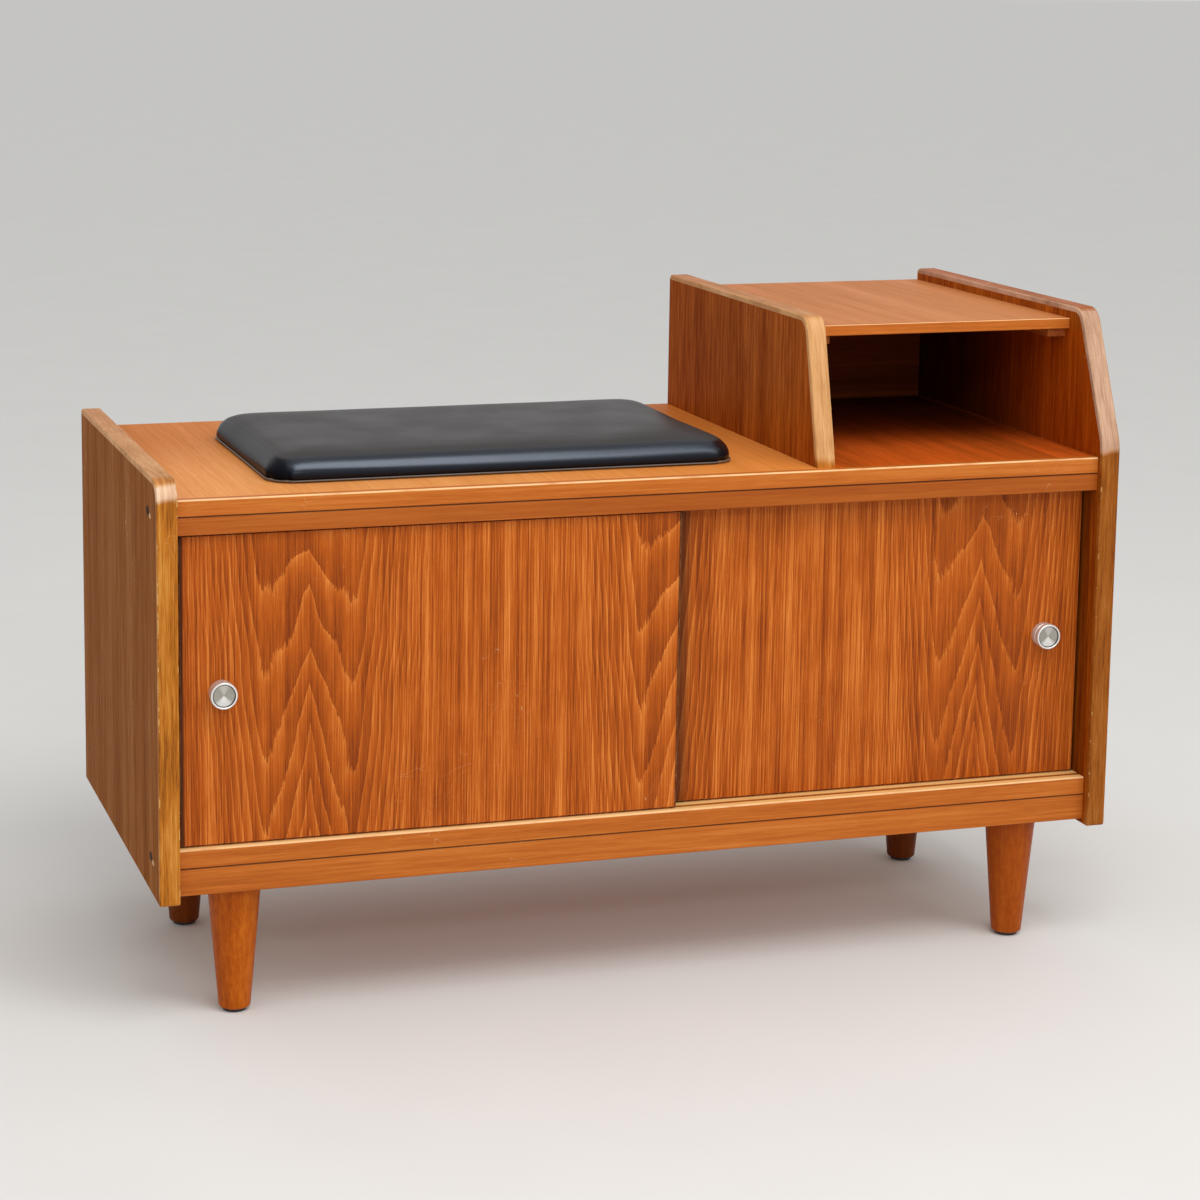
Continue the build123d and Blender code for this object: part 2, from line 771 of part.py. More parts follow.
def glide_nail(clearance=0.0):
    """The nail that holds a glide in its leg."""
    r = glide_nail_diameter / 2 + clearance
    tip = glide_thickness + glide_nail_length + clearance
    return turned([(0, 0), (r, 0), (r, tip - glide_nail_diameter), (0, tip)])


def glide(place):
    """A nail-on glide: a round foot with its nail up in the leg."""
    foot = Pos(0, 0, glide_thickness / 2) * Cylinder(glide_diameter / 2, glide_thickness)
    foot = fillet(foot.edges().filter_by(GeomType.CIRCLE).group_by(Axis.Z)[0], glide_round)
    return Pos(place[0], place[1], 0) * (foot + glide_nail())


# ---- seat pad
def pad_outline(inset, z):
    """The pad's outline at one height: four round corners, and sides that draw in a little between them."""
    half_x = pad_width / 2 - inset
    half_y = pad_depth / 2 - inset
    r = pad_corner_radius - min(inset, pad_corner_radius / 2)
    bend = r * (1 - sqrt(0.5))
    quarter = []
    for sx, sy in ((1, 1), (-1, 1), (-1, -1), (1, -1)):
        along_x = Vector(x_pad + sx * (half_x - r), y_pad + sy * half_y, z)
        along_y = Vector(x_pad + sx * half_x, y_pad + sy * (half_y - r), z)
        middle = Vector(x_pad + sx * (half_x - bend), y_pad + sy * (half_y - bend), z)
        ends = (along_y, along_x) if sx * sy > 0 else (along_x, along_y)
        quarter.append((ends[0], middle, ends[1]))
    sag = pad_side_sag
    sags = (Vector(0, -sag), Vector(sag, 0), Vector(0, sag), Vector(-sag, 0))
    edges = []
    for i, (start, middle, end) in enumerate(quarter):
        following = quarter[(i + 1) % 4][0]
        edges.append(ThreePointArc(start, middle, end))
        edges.append(ThreePointArc(end, (end + following) / 2 + sags[i], following))
    return make_face(edges)


def pad_form(inset, z_low, z_high):
    """The pad's crowned form: it swells above its foot and rounds over to a slightly domed top."""
    height = z_high - z_low
    stages = []
    for levels in (pad_side_levels, pad_crown_levels):
        sizes = [(inset + draw * pad_crown_reach, z_low + share * height) for share, draw in levels]
        stages.append(loft([pad_outline(draw, z) for draw, z in sizes]))
    return stages[0] + stages[1]


def seat_pad_cover():
    """The pad's covering, wrapped round the edge of its board."""
    z_inner = seat_height + pad_cover_thickness
    outer = pad_form(0, seat_height, seat_height + pad_height)
    inner = pad_form(pad_cover_thickness, z_inner, seat_height + pad_height - pad_cover_thickness)
    opening = extrude(pad_outline(pad_flange_width, seat_height), amount=pad_cover_thickness)
    return outer - inner - opening


def seat_pad_board():
    """The thin board inside the covering."""
    z_low = seat_height + pad_cover_thickness
    board = extrude(pad_outline(pad_board_inset, z_low), amount=pad_board_thickness)
    return cut_all(board, pad_screw(screw_clearance), pad_screw_places())


def seat_pad_foam():
    """The foam between the board and the covering."""
    z_low = seat_height + pad_cover_thickness + pad_board_thickness
    inset = pad_cover_thickness + pad_foam_clearance
    form = pad_form(inset, seat_height + inset, seat_height + pad_height - inset)
    above = block((x_left, x_right), (y_front, y_back), (z_low, seat_height + 2 * pad_height))
    return form & above


# ---- every sub-part under its node's name
def sub_parts():
    """The shape of each node, by its name."""
    left_core, left_strips = left_side_panel()
    right_core, right_strips = right_side_panel()
    divider_core, divider_strips = divider_panel()
    shelf_board, shelf_lipping = telephone_shelf()
    cabinet_back = back_panel(cabinet_back_x, cabinet_back_z, cabinet_back_pin_places())
    compartment_back = back_panel(compartment_back_x, compartment_back_z, compartment_back_pin_places())
    parts = {
        "left_side_panel": left_core,
        "left_panel_lipping": left_strips,
        "right_side_panel": right_core,
        "right_panel_lipping": right_strips,
        "divider_panel": divider_core,
        "divider_lipping": divider_strips,
        "bench_top": bench_top(),
        "bench_top_lipping": bench_top_lipping(),
        "upper_door_rail": upper_door_rail(),
        "cabinet_floor": cabinet_floor(),
        "cabinet_floor_lipping": cabinet_floor_lipping(),
        "lower_front_rail": lower_front_rail(),
        "left_leg_bearer": leg_bearer(-1),
        "right_leg_bearer": leg_bearer(1),
        "centre_partition": centre_partition(),
        "cabinet_back": cabinet_back,
        "compartment_back": compartment_back,
        "telephone_shelf": shelf_board,
        "telephone_shelf_lipping": shelf_lipping,
        "left_shelf_cleat": shelf_cleat((x_compartment, x_compartment + cleat_width)),
        "right_shelf_cleat": shelf_cleat((x_inner_right - cleat_width, x_inner_right)),
        "left_door": sliding_door(x_left_door, y_front_door, x_left_knob),
        "right_door": sliding_door(x_right_door, y_rear_door, x_right_knob),
        "left_door_knob": knob_at(x_left_knob, y_front_door),
        "right_door_knob": knob_at(x_right_knob, y_rear_door),
        "left_knob_screw": knob_screw_place(x_left_knob, y_front_door) * knob_screw(),
        "right_knob_screw": knob_screw_place(x_right_knob, y_rear_door) * knob_screw(),
        "seat_pad_cover": seat_pad_cover(),
        "seat_pad_foam": seat_pad_foam(),
        "seat_pad_board": seat_pad_board(),
    }
    for name, place in leg_places.items():
        parts[name + "_leg"] = leg(place)
        parts[name + "_glide"] = glide(place)
    bored_nut = tee_nut() - Pos(0, 0, -lower_rail_height) * hanger_bolt(screw_clearance)
    repeats = {
        "carcass_dowels": (dowel(), carcass_dowel_places() + partition_dowel_places()),
        "side_panel_pins": (side_pin(), side_pin_places()),
        "back_panel_pins": (back_pin(), cabinet_back_pin_places() + compartment_back_pin_places()),
        "divider_screws": (divider_screw(), divider_screw_places()),
        "upper_rail_screws": (upper_rail_screw(), upper_rail_screw_places()),
        "floor_screws": (floor_screw(), lower_rail_screw_places() + bearer_screw_places()),
        "cleat_screws": (cleat_screw(), cleat_screw_places()),
        "seat_pad_screws": (pad_screw(), pad_screw_places()),
        "leg_hanger_bolts": (hanger_bolt(), leg_top_places()),
        "leg_tee_nuts": (bored_nut, tee_nut_places()),
    }
    for name, (fastener, places) in repeats.items():
        parts[name] = group([place * fastener for place in places])
    return parts


os.makedirs("parts", exist_ok=True)
for node, shape in sub_parts().items():
    export_step(shape, "parts/" + node + ".step")
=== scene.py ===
import json
import math

import bmesh
import bpy
import numpy as np
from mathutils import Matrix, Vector

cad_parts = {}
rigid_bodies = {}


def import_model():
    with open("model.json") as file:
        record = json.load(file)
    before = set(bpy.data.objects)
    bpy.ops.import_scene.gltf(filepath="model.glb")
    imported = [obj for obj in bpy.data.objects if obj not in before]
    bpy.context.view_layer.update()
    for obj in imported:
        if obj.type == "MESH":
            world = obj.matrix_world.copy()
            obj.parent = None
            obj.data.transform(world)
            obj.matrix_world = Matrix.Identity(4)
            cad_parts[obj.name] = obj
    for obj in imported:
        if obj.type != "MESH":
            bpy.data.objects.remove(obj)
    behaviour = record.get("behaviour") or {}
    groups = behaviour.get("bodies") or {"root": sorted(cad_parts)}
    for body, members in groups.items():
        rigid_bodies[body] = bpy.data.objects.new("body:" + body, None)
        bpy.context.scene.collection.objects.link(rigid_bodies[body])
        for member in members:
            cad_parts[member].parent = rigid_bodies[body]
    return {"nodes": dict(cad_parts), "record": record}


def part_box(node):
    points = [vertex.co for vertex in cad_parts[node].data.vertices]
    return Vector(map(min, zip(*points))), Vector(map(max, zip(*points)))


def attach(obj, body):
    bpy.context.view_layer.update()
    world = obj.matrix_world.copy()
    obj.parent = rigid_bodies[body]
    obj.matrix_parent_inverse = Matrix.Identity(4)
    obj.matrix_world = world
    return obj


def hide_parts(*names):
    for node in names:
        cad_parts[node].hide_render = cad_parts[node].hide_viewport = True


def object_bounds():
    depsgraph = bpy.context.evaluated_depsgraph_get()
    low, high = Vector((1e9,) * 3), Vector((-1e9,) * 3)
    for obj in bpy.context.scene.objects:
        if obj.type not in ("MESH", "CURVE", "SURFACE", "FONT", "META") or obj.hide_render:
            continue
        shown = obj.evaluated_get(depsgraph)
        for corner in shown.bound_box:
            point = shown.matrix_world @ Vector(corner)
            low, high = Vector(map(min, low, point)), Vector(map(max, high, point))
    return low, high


for thing in list(bpy.data.objects):
    bpy.data.objects.remove(thing)

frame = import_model()
cad_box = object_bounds()
nodes = frame["nodes"]

# ---------------------------------------------------------------- sizes, metres
MM = 0.001

pad_low, pad_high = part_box("seat_pad_cover")
door_low, door_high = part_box("left_door")
track_low, track_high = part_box("cabinet_floor_lipping")

seat_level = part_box("bench_top")[1].z
shelf_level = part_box("telephone_shelf")[0].z
ledge_level = track_high.z
upper_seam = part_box("bench_top_lipping")[0].z      # between a front lipping and the rail below it
lower_seam = track_low.z
corner_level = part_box("left_panel_lipping")[1].z   # the top of the left panel's lipping
left_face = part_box("left_side_panel")[0].x         # the left panel's outer face
bench_end = cad_box[1].x
compartment_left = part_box("divider_panel")[1].x
nail_places = ((-0.161, 0.452), (-0.161, 0.147))   # (y, z) of the filled pins' marks on that face

# The doors' veneer comes in leaves of one width, each with a figure over its heart.
leaf_width = 344.0             # these four in millimetres, as in the doors' own formula
leaf_heart = 29.0
right_leaf_shift = 46.0        # how far the right door's leaves lie to the left of the left door's row
figure_top = 436.0

# ---------------------------------------------------------------- colours, as they show on a screen
DOOR_DARK = (122, 50, 8)
DOOR_MID = (180, 86, 18)
DOOR_LIGHT = (222, 132, 56)
TOP_DARK = (202, 124, 60)
TOP_MID = (223, 148, 82)
TOP_LIGHT = (238, 170, 106)
TOP_RICH = (209, 117, 34)
TOP_BACK_SHADE = (188, 106, 40)
SHELF_MID = (191, 121, 72)
RAIL_DARK = (146, 68, 18)
RAIL_MID = (186, 100, 34)
RAIL_LIGHT = (212, 130, 58)
SIDE_DARK = (118, 46, 4)
SIDE_MID = (155, 75, 13)
SIDE_LIGHT = (188, 100, 28)
# the painted shaded colour of the compartment's inside
COMPARTMENT_SHADE = (178, 64, 2)
OUTER_DARK = (106, 50, 6)
OUTER_MID = (143, 80, 18)
OUTER_LIGHT = (168, 106, 42)
GOLD_DARK = (100, 48, 6)
GOLD_MID = (184, 110, 30)
GOLD_LIGHT = (212, 150, 70)
TAN_DARK = (160, 106, 62)
TAN_MID = (207, 153, 98)
TAN_LIGHT = (228, 182, 134)
CAP_MID = (160, 84, 28)
LEAN_DARK = (140, 100, 78)
LEAN_MID = (188, 150, 126)
LEAN_LIGHT = (216, 180, 154)
LIP_SHADE = (112, 44, 8)
WORN = (246, 212, 160)
CHIPPED = (232, 178, 104)
LEDGE_DARK = (220, 160, 88)
LEDGE_MID = (246, 200, 128)
LEDGE_LIGHT = (252, 220, 164)
STOPPING = (96, 52, 14)
RUBBED_AND_HIGHLIGHT = (240, 192, 138)
BARE_DARK = (202, 156, 120)
BARE_MID = (230, 194, 162)
BARE_LIGHT = (246, 224, 202)
# dark dirt for joints and bruises, also used as the colour of painted shade
GRIME_AND_SHADE = (40, 16, 5)
LEG_DARK = (134, 54, 2)
LEG_MID = (175, 82, 6)
LEG_LIGHT = (202, 112, 26)
LEG_SHADE = (132, 50, 0)
LEG_REAR_SHADE = (74, 30, 6)
BACK_DARK = (96, 38, 10)
BACK_MID = (124, 54, 16)
BACK_LIGHT = (150, 74, 28)
CLEAT_DARK = (126, 60, 22)
CLEAT_MID = (164, 88, 40)
CLEAT_LIGHT = (190, 116, 62)
PINE_DARK = (176, 134, 84)
PINE_MID = (202, 164, 112)
PINE_LIGHT = (220, 188, 138)
BEECH_DARK = (190, 152, 110)
BEECH_MID = (212, 178, 136)
BEECH_LIGHT = (226, 198, 160)
VINYL_DARK = (14, 15, 21)
VINYL_TOP_REFLECTION = (62, 59, 58)
VINYL_SHINE = (0.74, 0.84, 1.0, 1.0)
PIPING_DARK = (44, 38, 36)
PIPING_LIGHT = (96, 84, 76)
METAL_SHADED = (168, 163, 155)
METAL_GROOVE_SHADE = (84, 80, 76)
METAL_LIGHT = (248, 246, 243)
STEEL_DARK = (112, 108, 102)
STEEL_LIGHT = (164, 160, 154)
GLIDE_DARK = (14, 13, 13)
GLIDE_LIGHT = (34, 32, 31)
FLOOR_COLOUR = (226, 225, 222)


def linear(colour):
    """A screen colour of three whole numbers, as the linear colour with alpha that a shader takes."""
    def one(value):
        share = value / 255
        if share <= 0.04045:
            return share / 12.92
        return ((share + 0.055) / 1.055) ** 2.4
    return (*[one(value) for value in colour], 1.0)


class Finish:
    """One material. Each method adds a node to it and gives back that node's output."""

    def __init__(self, name):
        self.material = bpy.data.materials.new(name)
        self.material.use_nodes = True
        self.tree = self.material.node_tree
        self.tree.nodes.clear()
        self.shader = self.tree.nodes.new("ShaderNodeBsdfPrincipled")
        output = self.tree.nodes.new("ShaderNodeOutputMaterial")
        self.tree.links.new(self.shader.outputs["BSDF"], output.inputs["Surface"])

    def put(self, socket, value):
        """Links a value that is another node's output, and sets any other value."""
        if isinstance(value, bpy.types.NodeSocket):
            self.tree.links.new(value, socket)
        else:
            socket.default_value = value

    def set(self, **values):
        """Sets or links inputs of the surface shader, with _ for a space in their names."""
        for name, value in values.items():
            self.put(self.shader.inputs[name.replace("_", " ")], value)

    def node(self, kind, output, inputs, **settings):
        made = self.tree.nodes.new("ShaderNode" + kind)
        for name, value in settings.items():
            setattr(made, name, value)
        for key, value in inputs.items():
            self.put(made.inputs[key], value)
        return made.outputs[output]

    def place(self):
        """The point in the object's own frame, which is the bench's frame for its CAD pieces."""
        return self.node("TexCoord", "Object", {})

    def parts(self, vector):
        """The X, Y and Z of a vector."""
        split = self.tree.nodes.new("ShaderNodeSeparateXYZ")
        self.put(split.inputs[0], vector)
        return split.outputs[0], split.outputs[1], split.outputs[2]

    def joined(self, x, y, z):
        return self.node("CombineXYZ", 0, {0: x, 1: y, 2: z})

    def math(self, operation, a, b=0.0, c=0.0, clamp=False):
        return self.node("Math", 0, {0: a, 1: b, 2: c}, operation=operation, use_clamp=clamp)

    def stretched(self, vector, factors):
        return self.node("VectorMath", 0, {0: vector, 1: factors}, operation="MULTIPLY")

    def noise(self, vector, scale=1.0, detail=3.0, roughness=0.5, distortion=0.0):
        inputs = {
            "Vector": vector, "Scale": scale, "Detail": detail,
            "Roughness": roughness, "Distortion": distortion,
        }
        return self.node("TexNoise", 0, inputs)

    def spread(self, value, low, high, to_low=0.0, to_high=1.0):
        """The value's share of the way from low to high, smoothly, as a number from to_low to to_high."""
        inputs = {"Value": value, "From Min": low, "From Max": high, "To Min": to_low, "To Max": to_high}
        return self.node("MapRange", 0, inputs, interpolation_type="SMOOTHSTEP")

    def tones(self, value, dark, mid, light):
        """A colour from dark over mid to light as the value goes from 0 to 1."""
        ramp = self.tree.nodes.new("ShaderNodeValToRGB")
        ramp.color_ramp.elements[0].color = linear(dark)
        ramp.color_ramp.elements[1].color = linear(light)
        ramp.color_ramp.elements.new(0.5).color = linear(mid)
        self.put(ramp.inputs[0], value)
        return ramp.outputs[0]

    def shades(self, value, middle, reach=0.25):
        """One colour, darker where the value is near 0 and lighter where it is near 1."""
        level = self.math("MULTIPLY_ADD", value, 2 * reach, 1 - reach)
        return self.node("VectorMath", 0, {0: linear(middle)[:3], "Scale": level}, operation="SCALE")

    def times(self, *factors):
        """The product of two or more values."""
        product = factors[0]
        for factor in factors[1:]:
            product = self.math("MULTIPLY", product, factor)
        return product

    def over(self, colour, other, *shares):
        """The colour with another laid over it, as far as the product of the shares."""
        return self.mix(self.times(*shares), colour, other)

    def mix(self, factor, a, b):
        made = self.tree.nodes.new("ShaderNodeMix")
        made.data_type = "RGBA"
        self.put(made.inputs["Factor"], factor)
        self.put(made.inputs["A"], a)
        self.put(made.inputs["B"], b)
        return made.outputs["Result"]

    def bump(self, height, depth, strength=1.0):
        """Surface relief of a height from 0 to 1 that is depth metres deep."""
        inputs = {"Height": height, "Strength": strength, "Distance": depth}
        return self.node("Bump", 0, inputs)

    def facing(self):
        """The surface's own direction, as its X, Y and Z."""
        return self.parts(self.node("TexCoord", "Normal", {}))

    def arris(self, axis):
        """1 in the middle of an edge that is rounded off a face across the axis, and 0 on the faces."""
        towards = self.facing()["XYZ".index(axis)]
        square = self.math("MULTIPLY", towards, towards)
        turned = self.math("MULTIPLY", square, self.math("SUBTRACT", 1.0, square))
        return self.spread(turned, 0.02, 0.16)


# ---------------------------------------------------------------- wood
GRAIN_ORDER = {"X": (1, 2, 0), "Y": (0, 2, 1), "Z": (0, 1, 2)}


def grain_place(finish, along):
    """The point with the grain's own direction as its third coordinate."""
    found = finish.parts(finish.place())
    first, second, third = GRAIN_ORDER[along]
    return finish.joined(found[first], found[second], found[third])


def wood_streaks(finish, place, seed):
    """Streaks, pores and bands of plain sliced wood, each from 0 to 1. The grain runs along place's Z."""
    moved = finish.node("VectorMath", 0, {0: place, 1: (seed, seed * 0.7, seed * 1.3)}, operation="ADD")
    streaks = finish.noise(finish.stretched(moved, (330, 330, 7)), detail=4, roughness=0.65)
    fine = finish.noise(finish.stretched(moved, (1200, 1200, 36)), detail=2, roughness=0.6)
    bands = finish.noise(finish.stretched(moved, (48, 48, 1.8)), detail=1)
    return streaks, fine, bands


def around(finish, value, share, base):
    """Adds a 0 to 1 value's difference from its middle, times share, to base."""
    shifted = finish.math("SUBTRACT", value, 0.5)
    return finish.math("MULTIPLY_ADD", shifted, share, base)


def wood_value(finish, streaks, fine, bands, contrast=1.0):
    """How light plain wood is at a point, from 0, dark, to 1, light."""
    value = around(finish, streaks, 1.1 * contrast, 0.5)
    value = around(finish, bands, 0.9 * contrast, value)
    return around(finish, fine, 0.7 * contrast, value)


def wear(finish, colour, mask, amount, place):
    """Pale worn wood where the mask is 1, broken up by noise."""
    broken = finish.spread(finish.noise(finish.stretched(place, (90, 90, 90)), detail=5), 0.36, 0.60)
    mask = finish.math("MULTIPLY", finish.times(mask, broken), amount, clamp=True)
    return finish.mix(mask, colour, linear(WORN))


def scratched(finish, colour, place, amount):
    """A few short light scratches and specks in any direction."""
    contours = finish.noise(finish.stretched(place, (26, 26, 26)), detail=0, distortion=2.2)
    line = finish.math("COMPARE", contours, 0.5, 0.0012)
    here = finish.spread(finish.noise(place, scale=9.0, detail=1), 0.60, 0.66)
    specks = finish.spread(finish.noise(place, scale=420.0, detail=1), 0.80, 0.86)
    mask = finish.math("MAXIMUM", finish.times(line, here), specks)
    return finish.over(colour, linear(WORN), mask, amount)


def finish_wood(finish, colour, height, relief, roughness, sheen):
    """Satin lacquer over wood whose pores still show."""
    finish.set(Base_Color=colour, Normal=finish.bump(height, relief), Specular_IOR_Level=sheen)
    finish.set(Roughness=finish.spread(height, 0.2, 0.9, roughness + 0.10, roughness - 0.04))
    return finish.material


def plain_wood(name, along, tones, seed, roughness, sheen):
    """Straight-grained wood along one axis."""
    finish = Finish(name)
    value = wood_value(finish, *wood_streaks(finish, grain_place(finish, along), seed))
    colour = finish.tones(value, *tones)
    return finish_wood(finish, colour, value, 0.10 * MM, roughness, sheen)


def side_wood(name):
    """Upright grain: orange brown inside the bench, duller outside it, with painted shade in the compartment
    and behind the doors.
    """
    finish = Finish(name)
    whole = finish.place()
    across, deep, up = finish.parts(whole)
    place = grain_place(finish, "Z")
    streaks, fine, bands = wood_streaks(finish, place, 3.0)
    flecks = finish.noise(finish.stretched(place, (420, 420, 20)), detail=4, roughness=0.7)
    value = around(finish, flecks, 1.9, wood_value(finish, streaks, fine, bands, 1.1))
    even = around(finish, flecks, 1.2, wood_value(finish, streaks, fine, bands, 0.8))
    outside = finish.spread(finish.math("ABSOLUTE", across), bench_end - 4 * MM, bench_end - 2 * MM)
    inner = finish.tones(value, SIDE_DARK, SIDE_MID, SIDE_LIGHT)
    outer = finish.tones(even, OUTER_DARK, OUTER_MID, OUTER_LIGHT)
    colour = finish.mix(outside, inner, outer)

    towards = finish.facing()[0]
    inner_face = finish.times(
        finish.math("SUBTRACT", 1.0, outside),
        finish.spread(finish.times(towards, towards), 0.5, 0.9),
    )
    # painted shade on the inner faces just behind the doors
    door_slot_shade = finish.times(
        inner_face,
        finish.spread(deep, -0.197, -0.180),
        finish.spread(up, seat_level, seat_level - 20 * MM),
    )
    colour = finish.over(colour, linear(GRIME_AND_SHADE), door_slot_shade, 0.35)
    # painted shade in the compartment: a darker shaded colour, darkest toward the back
    in_compartment = finish.times(
        inner_face,
        finish.spread(across, compartment_left - 4 * MM, compartment_left - MM),
        finish.spread(up, seat_level, seat_level + 2 * MM),
        finish.spread(up, shelf_level + 2 * MM, shelf_level),
    )
    colour = finish.over(colour, finish.shades(value, COMPARTMENT_SHADE), in_compartment, 0.35)
    colour = finish.over(colour, linear(GRIME_AND_SHADE), in_compartment, finish.spread(deep, -0.12, 0.10, 0.0, 0.8))
    colour = wear(finish, colour, finish.arris("X"), 0.4, whole)
    colour = nail_marks(finish, colour, across, deep, up)
    colour = scratched(finish, colour, whole, 0.35)
    return finish_wood(finish, colour, value, 0.12 * MM, 0.46, 0.015)


def spot(finish, deep, up, middle, reach):
    """1 inside a soft oval round a middle (y, z), as far as its reach along Y and Z, and 0 outside it."""
    beside = finish.math("DIVIDE", finish.math("SUBTRACT", deep, middle[0]), reach[0])
    above = finish.math("DIVIDE", finish.math("SUBTRACT", up, middle[1]), reach[1])
    square = finish.math("MULTIPLY_ADD", above, above, finish.times(beside, beside))
    return finish.spread(square, 1.3, 0.5)


def nail_marks(finish, colour, across, deep, up):
    """A dark bruise and a light nick by each filled pin near the front of the left panel's outer face."""
    outer_face = finish.spread(across, left_face + 2 * MM, left_face + MM)
    for y, z in nail_places:
        bruise = spot(finish, deep, up, (y, z), (7.0 * MM, 4.6 * MM))
        colour = finish.over(colour, linear(GRIME_AND_SHADE), bruise, outer_face, 0.97)
        nick = spot(finish, deep, up, (y - 10 * MM, z - 3 * MM), (4.5 * MM, 2.4 * MM))
        colour = finish.over(colour, linear(WORN), nick, outer_face, 0.6)
    return colour


def lipping_wood(name):
    """Hardwood strips: golden brown up the fronts, paler above the seat, with chipped edges."""
    finish = Finish(name)
    whole = finish.place()
    across, deep, up = finish.parts(whole)
    streaks = finish.noise(finish.stretched(whole, (520, 16, 16)), detail=4, roughness=0.7)
    fine = finish.noise(finish.stretched(whole, (1300, 60, 60)), detail=2)
    stains = finish.noise(finish.stretched(whole, (70, 14, 14)), detail=3)
    value = wood_value(finish, streaks, fine, stains, 1.2)
    gold = finish.tones(value, GOLD_DARK, GOLD_MID, GOLD_LIGHT)
    tan = finish.tones(around(finish, value, 0.8, 0.5), TAN_DARK, TAN_MID, TAN_LIGHT)
    pinkish = finish.tones(value, LEAN_DARK, LEAN_MID, LEAN_LIGHT)
    raised = around(finish, stains, 10 * MM, up)
    high = finish.spread(raised, seat_level + 2 * MM, seat_level + 10 * MM)
    colour = finish.mix(high, gold, tan)
    low_right = finish.times(finish.spread(across, 0.2, 0.4, 0.0, 0.55), finish.math("SUBTRACT", 1.0, high))
    colour = finish.mix(low_right, colour, finish.shades(value, LIP_SHADE, 0.4))
    leaning = finish.times(finish.spread(across, bench_end - 30 * MM, bench_end - 20 * MM), high)
    colour = finish.over(colour, pinkish, leaning, 0.85)

    _, ahead, above = finish.facing()
    rightwards = finish.spread(across, 0.0, bench_end, 0.30, 0.95)
    capped = finish.times(finish.spread(above, 0.80, 0.97), rightwards)
    colour = finish.mix(capped, colour, finish.shades(value, CAP_MID, 0.4))
    rear = finish.spread(deep, -0.05, 0.2, 0.0, 0.3)
    colour = finish.mix(rear, colour, finish.shades(value, SIDE_MID))
    left_end = finish.spread(across, -0.40, -0.42)
    colour = worn_corner(finish, colour, value, gold, left_end, deep, raised)

    chips = finish.noise(finish.stretched(whole, (150, 60, 70)), detail=4, roughness=0.7)
    edge = finish.times(finish.arris("X"), finish.spread(ahead, -0.12, -0.35))
    more_left = finish.math("MULTIPLY_ADD", left_end, 0.02, chips)
    chip = finish.times(edge, finish.spread(more_left, 0.585, 0.615))
    colour = finish.over(colour, linear(CHIPPED), chip, finish.spread(across, 0.0, 0.4, 0.95, 0.6))
    colour = finish.over(colour, linear(GOLD_DARK), edge, finish.spread(chips, 0.40, 0.34), 0.45)
    colour = scratched(finish, colour, whole, 0.7)
    relief = finish.math("MULTIPLY_ADD", chip, -2.0, value)
    return finish_wood(finish, colour, relief, 0.18 * MM, 0.44, 0.10)


def worn_corner(finish, colour, value, gold, left_end, deep, raised):
    """The left panel's top front corner: golden where the strip turns, and bare wood below that."""
    turned = finish.spread(raised, corner_level - 5 * MM, corner_level - 3 * MM)
    colour = finish.over(colour, gold, turned, left_end, finish.spread(deep, -0.170, -0.190, 0.0, 0.6))
    bare = finish.times(
        left_end,
        finish.spread(raised, corner_level - 20 * MM, corner_level - 14 * MM),
        finish.spread(raised, corner_level - 4 * MM, corner_level - 7 * MM),
        finish.spread(deep, -0.180, -0.190),
    )
    return finish.over(colour, finish.tones(value, BARE_DARK, BARE_MID, BARE_LIGHT), bare, 0.85)


def fibres(finish, x, middle, z, width, length, detail, roughness=0.5):
    """Noise with marks about width wide and length tall, both in millimetres."""
    place = finish.joined(finish.math("DIVIDE", x, width), middle, finish.math("DIVIDE", z, length))
    return finish.noise(place, detail=detail, roughness=roughness)


def ring_count(finish, x, z):
    """The growth rings of one leaf, counted down from its top, and the distance from its heart.
    Over the heart they make nested arches that get steeper downwards; beside it they are nearly upright."""
    arch_reach = 41.0
    straight_from = 45.0
    ring_width = 9.0               # beside the arches
    ring_height = 67.0
    from_heart = finish.math("SUBTRACT", x, leaf_heart)
    leaf = finish.math("FLOOR", finish.math("MULTIPLY_ADD", from_heart, 1 / leaf_width, 0.5))
    beside = finish.math("MULTIPLY_ADD", leaf, -leaf_width, from_heart)
    sway = finish.noise(finish.joined(leaf, 0.0, finish.math("DIVIDE", z, 90.0)), detail=2)
    beside = around(finish, sway, 9.0, beside)
    away = finish.math("ABSOLUTE", beside)
    side = finish.math("SIGN", beside)

    down = finish.math("SUBTRACT", finish.math("MULTIPLY_ADD", leaf, 19.0, figure_top), z)
    drift = around(finish, fibres(finish, x, leaf, z, 34.0, 80.0, 1), 44.0, 0.0)
    # how far the fibres draw the ring ends up or down
    teeth = around(finish, fibres(finish, x, 0.0, z, 1.9, 70.0, 4, 0.72), 62.0, 0.0)

    share = finish.math("DIVIDE", away, arch_reach)
    flare = finish.math("POWER", share, 0.82)
    fall = finish.times(finish.math("MULTIPLY_ADD", side, 10.0, 44.0), flare)
    toothed = finish.times(teeth, finish.spread(share, 0.2, 0.9, 0.12, 1.0))
    inner = finish.math("SUBTRACT", finish.math("ADD", finish.math("ADD", down, drift), toothed), fall)
    inner = finish.math("DIVIDE", inner, finish.math("MULTIPLY_ADD", share, 36.0, 40.0))

    past = finish.math("SUBTRACT", away, straight_from)
    outer = finish.math("MULTIPLY_ADD", drift, 0.6, finish.math("MULTIPLY_ADD", teeth, 0.1, down))
    outer = finish.math("MULTIPLY_ADD", outer, 1 / ring_height, -0.5)
    outer = finish.math("MULTIPLY_ADD", past, 1 / ring_width, outer)
    bowed = finish.math("MAXIMUM", past, 0.0)
    outer = finish.math("MULTIPLY_ADD", finish.times(bowed, bowed), 0.0012, outer)
    return finish.math("SMOOTH_MAX", inner, outer, 0.9), away, leaf


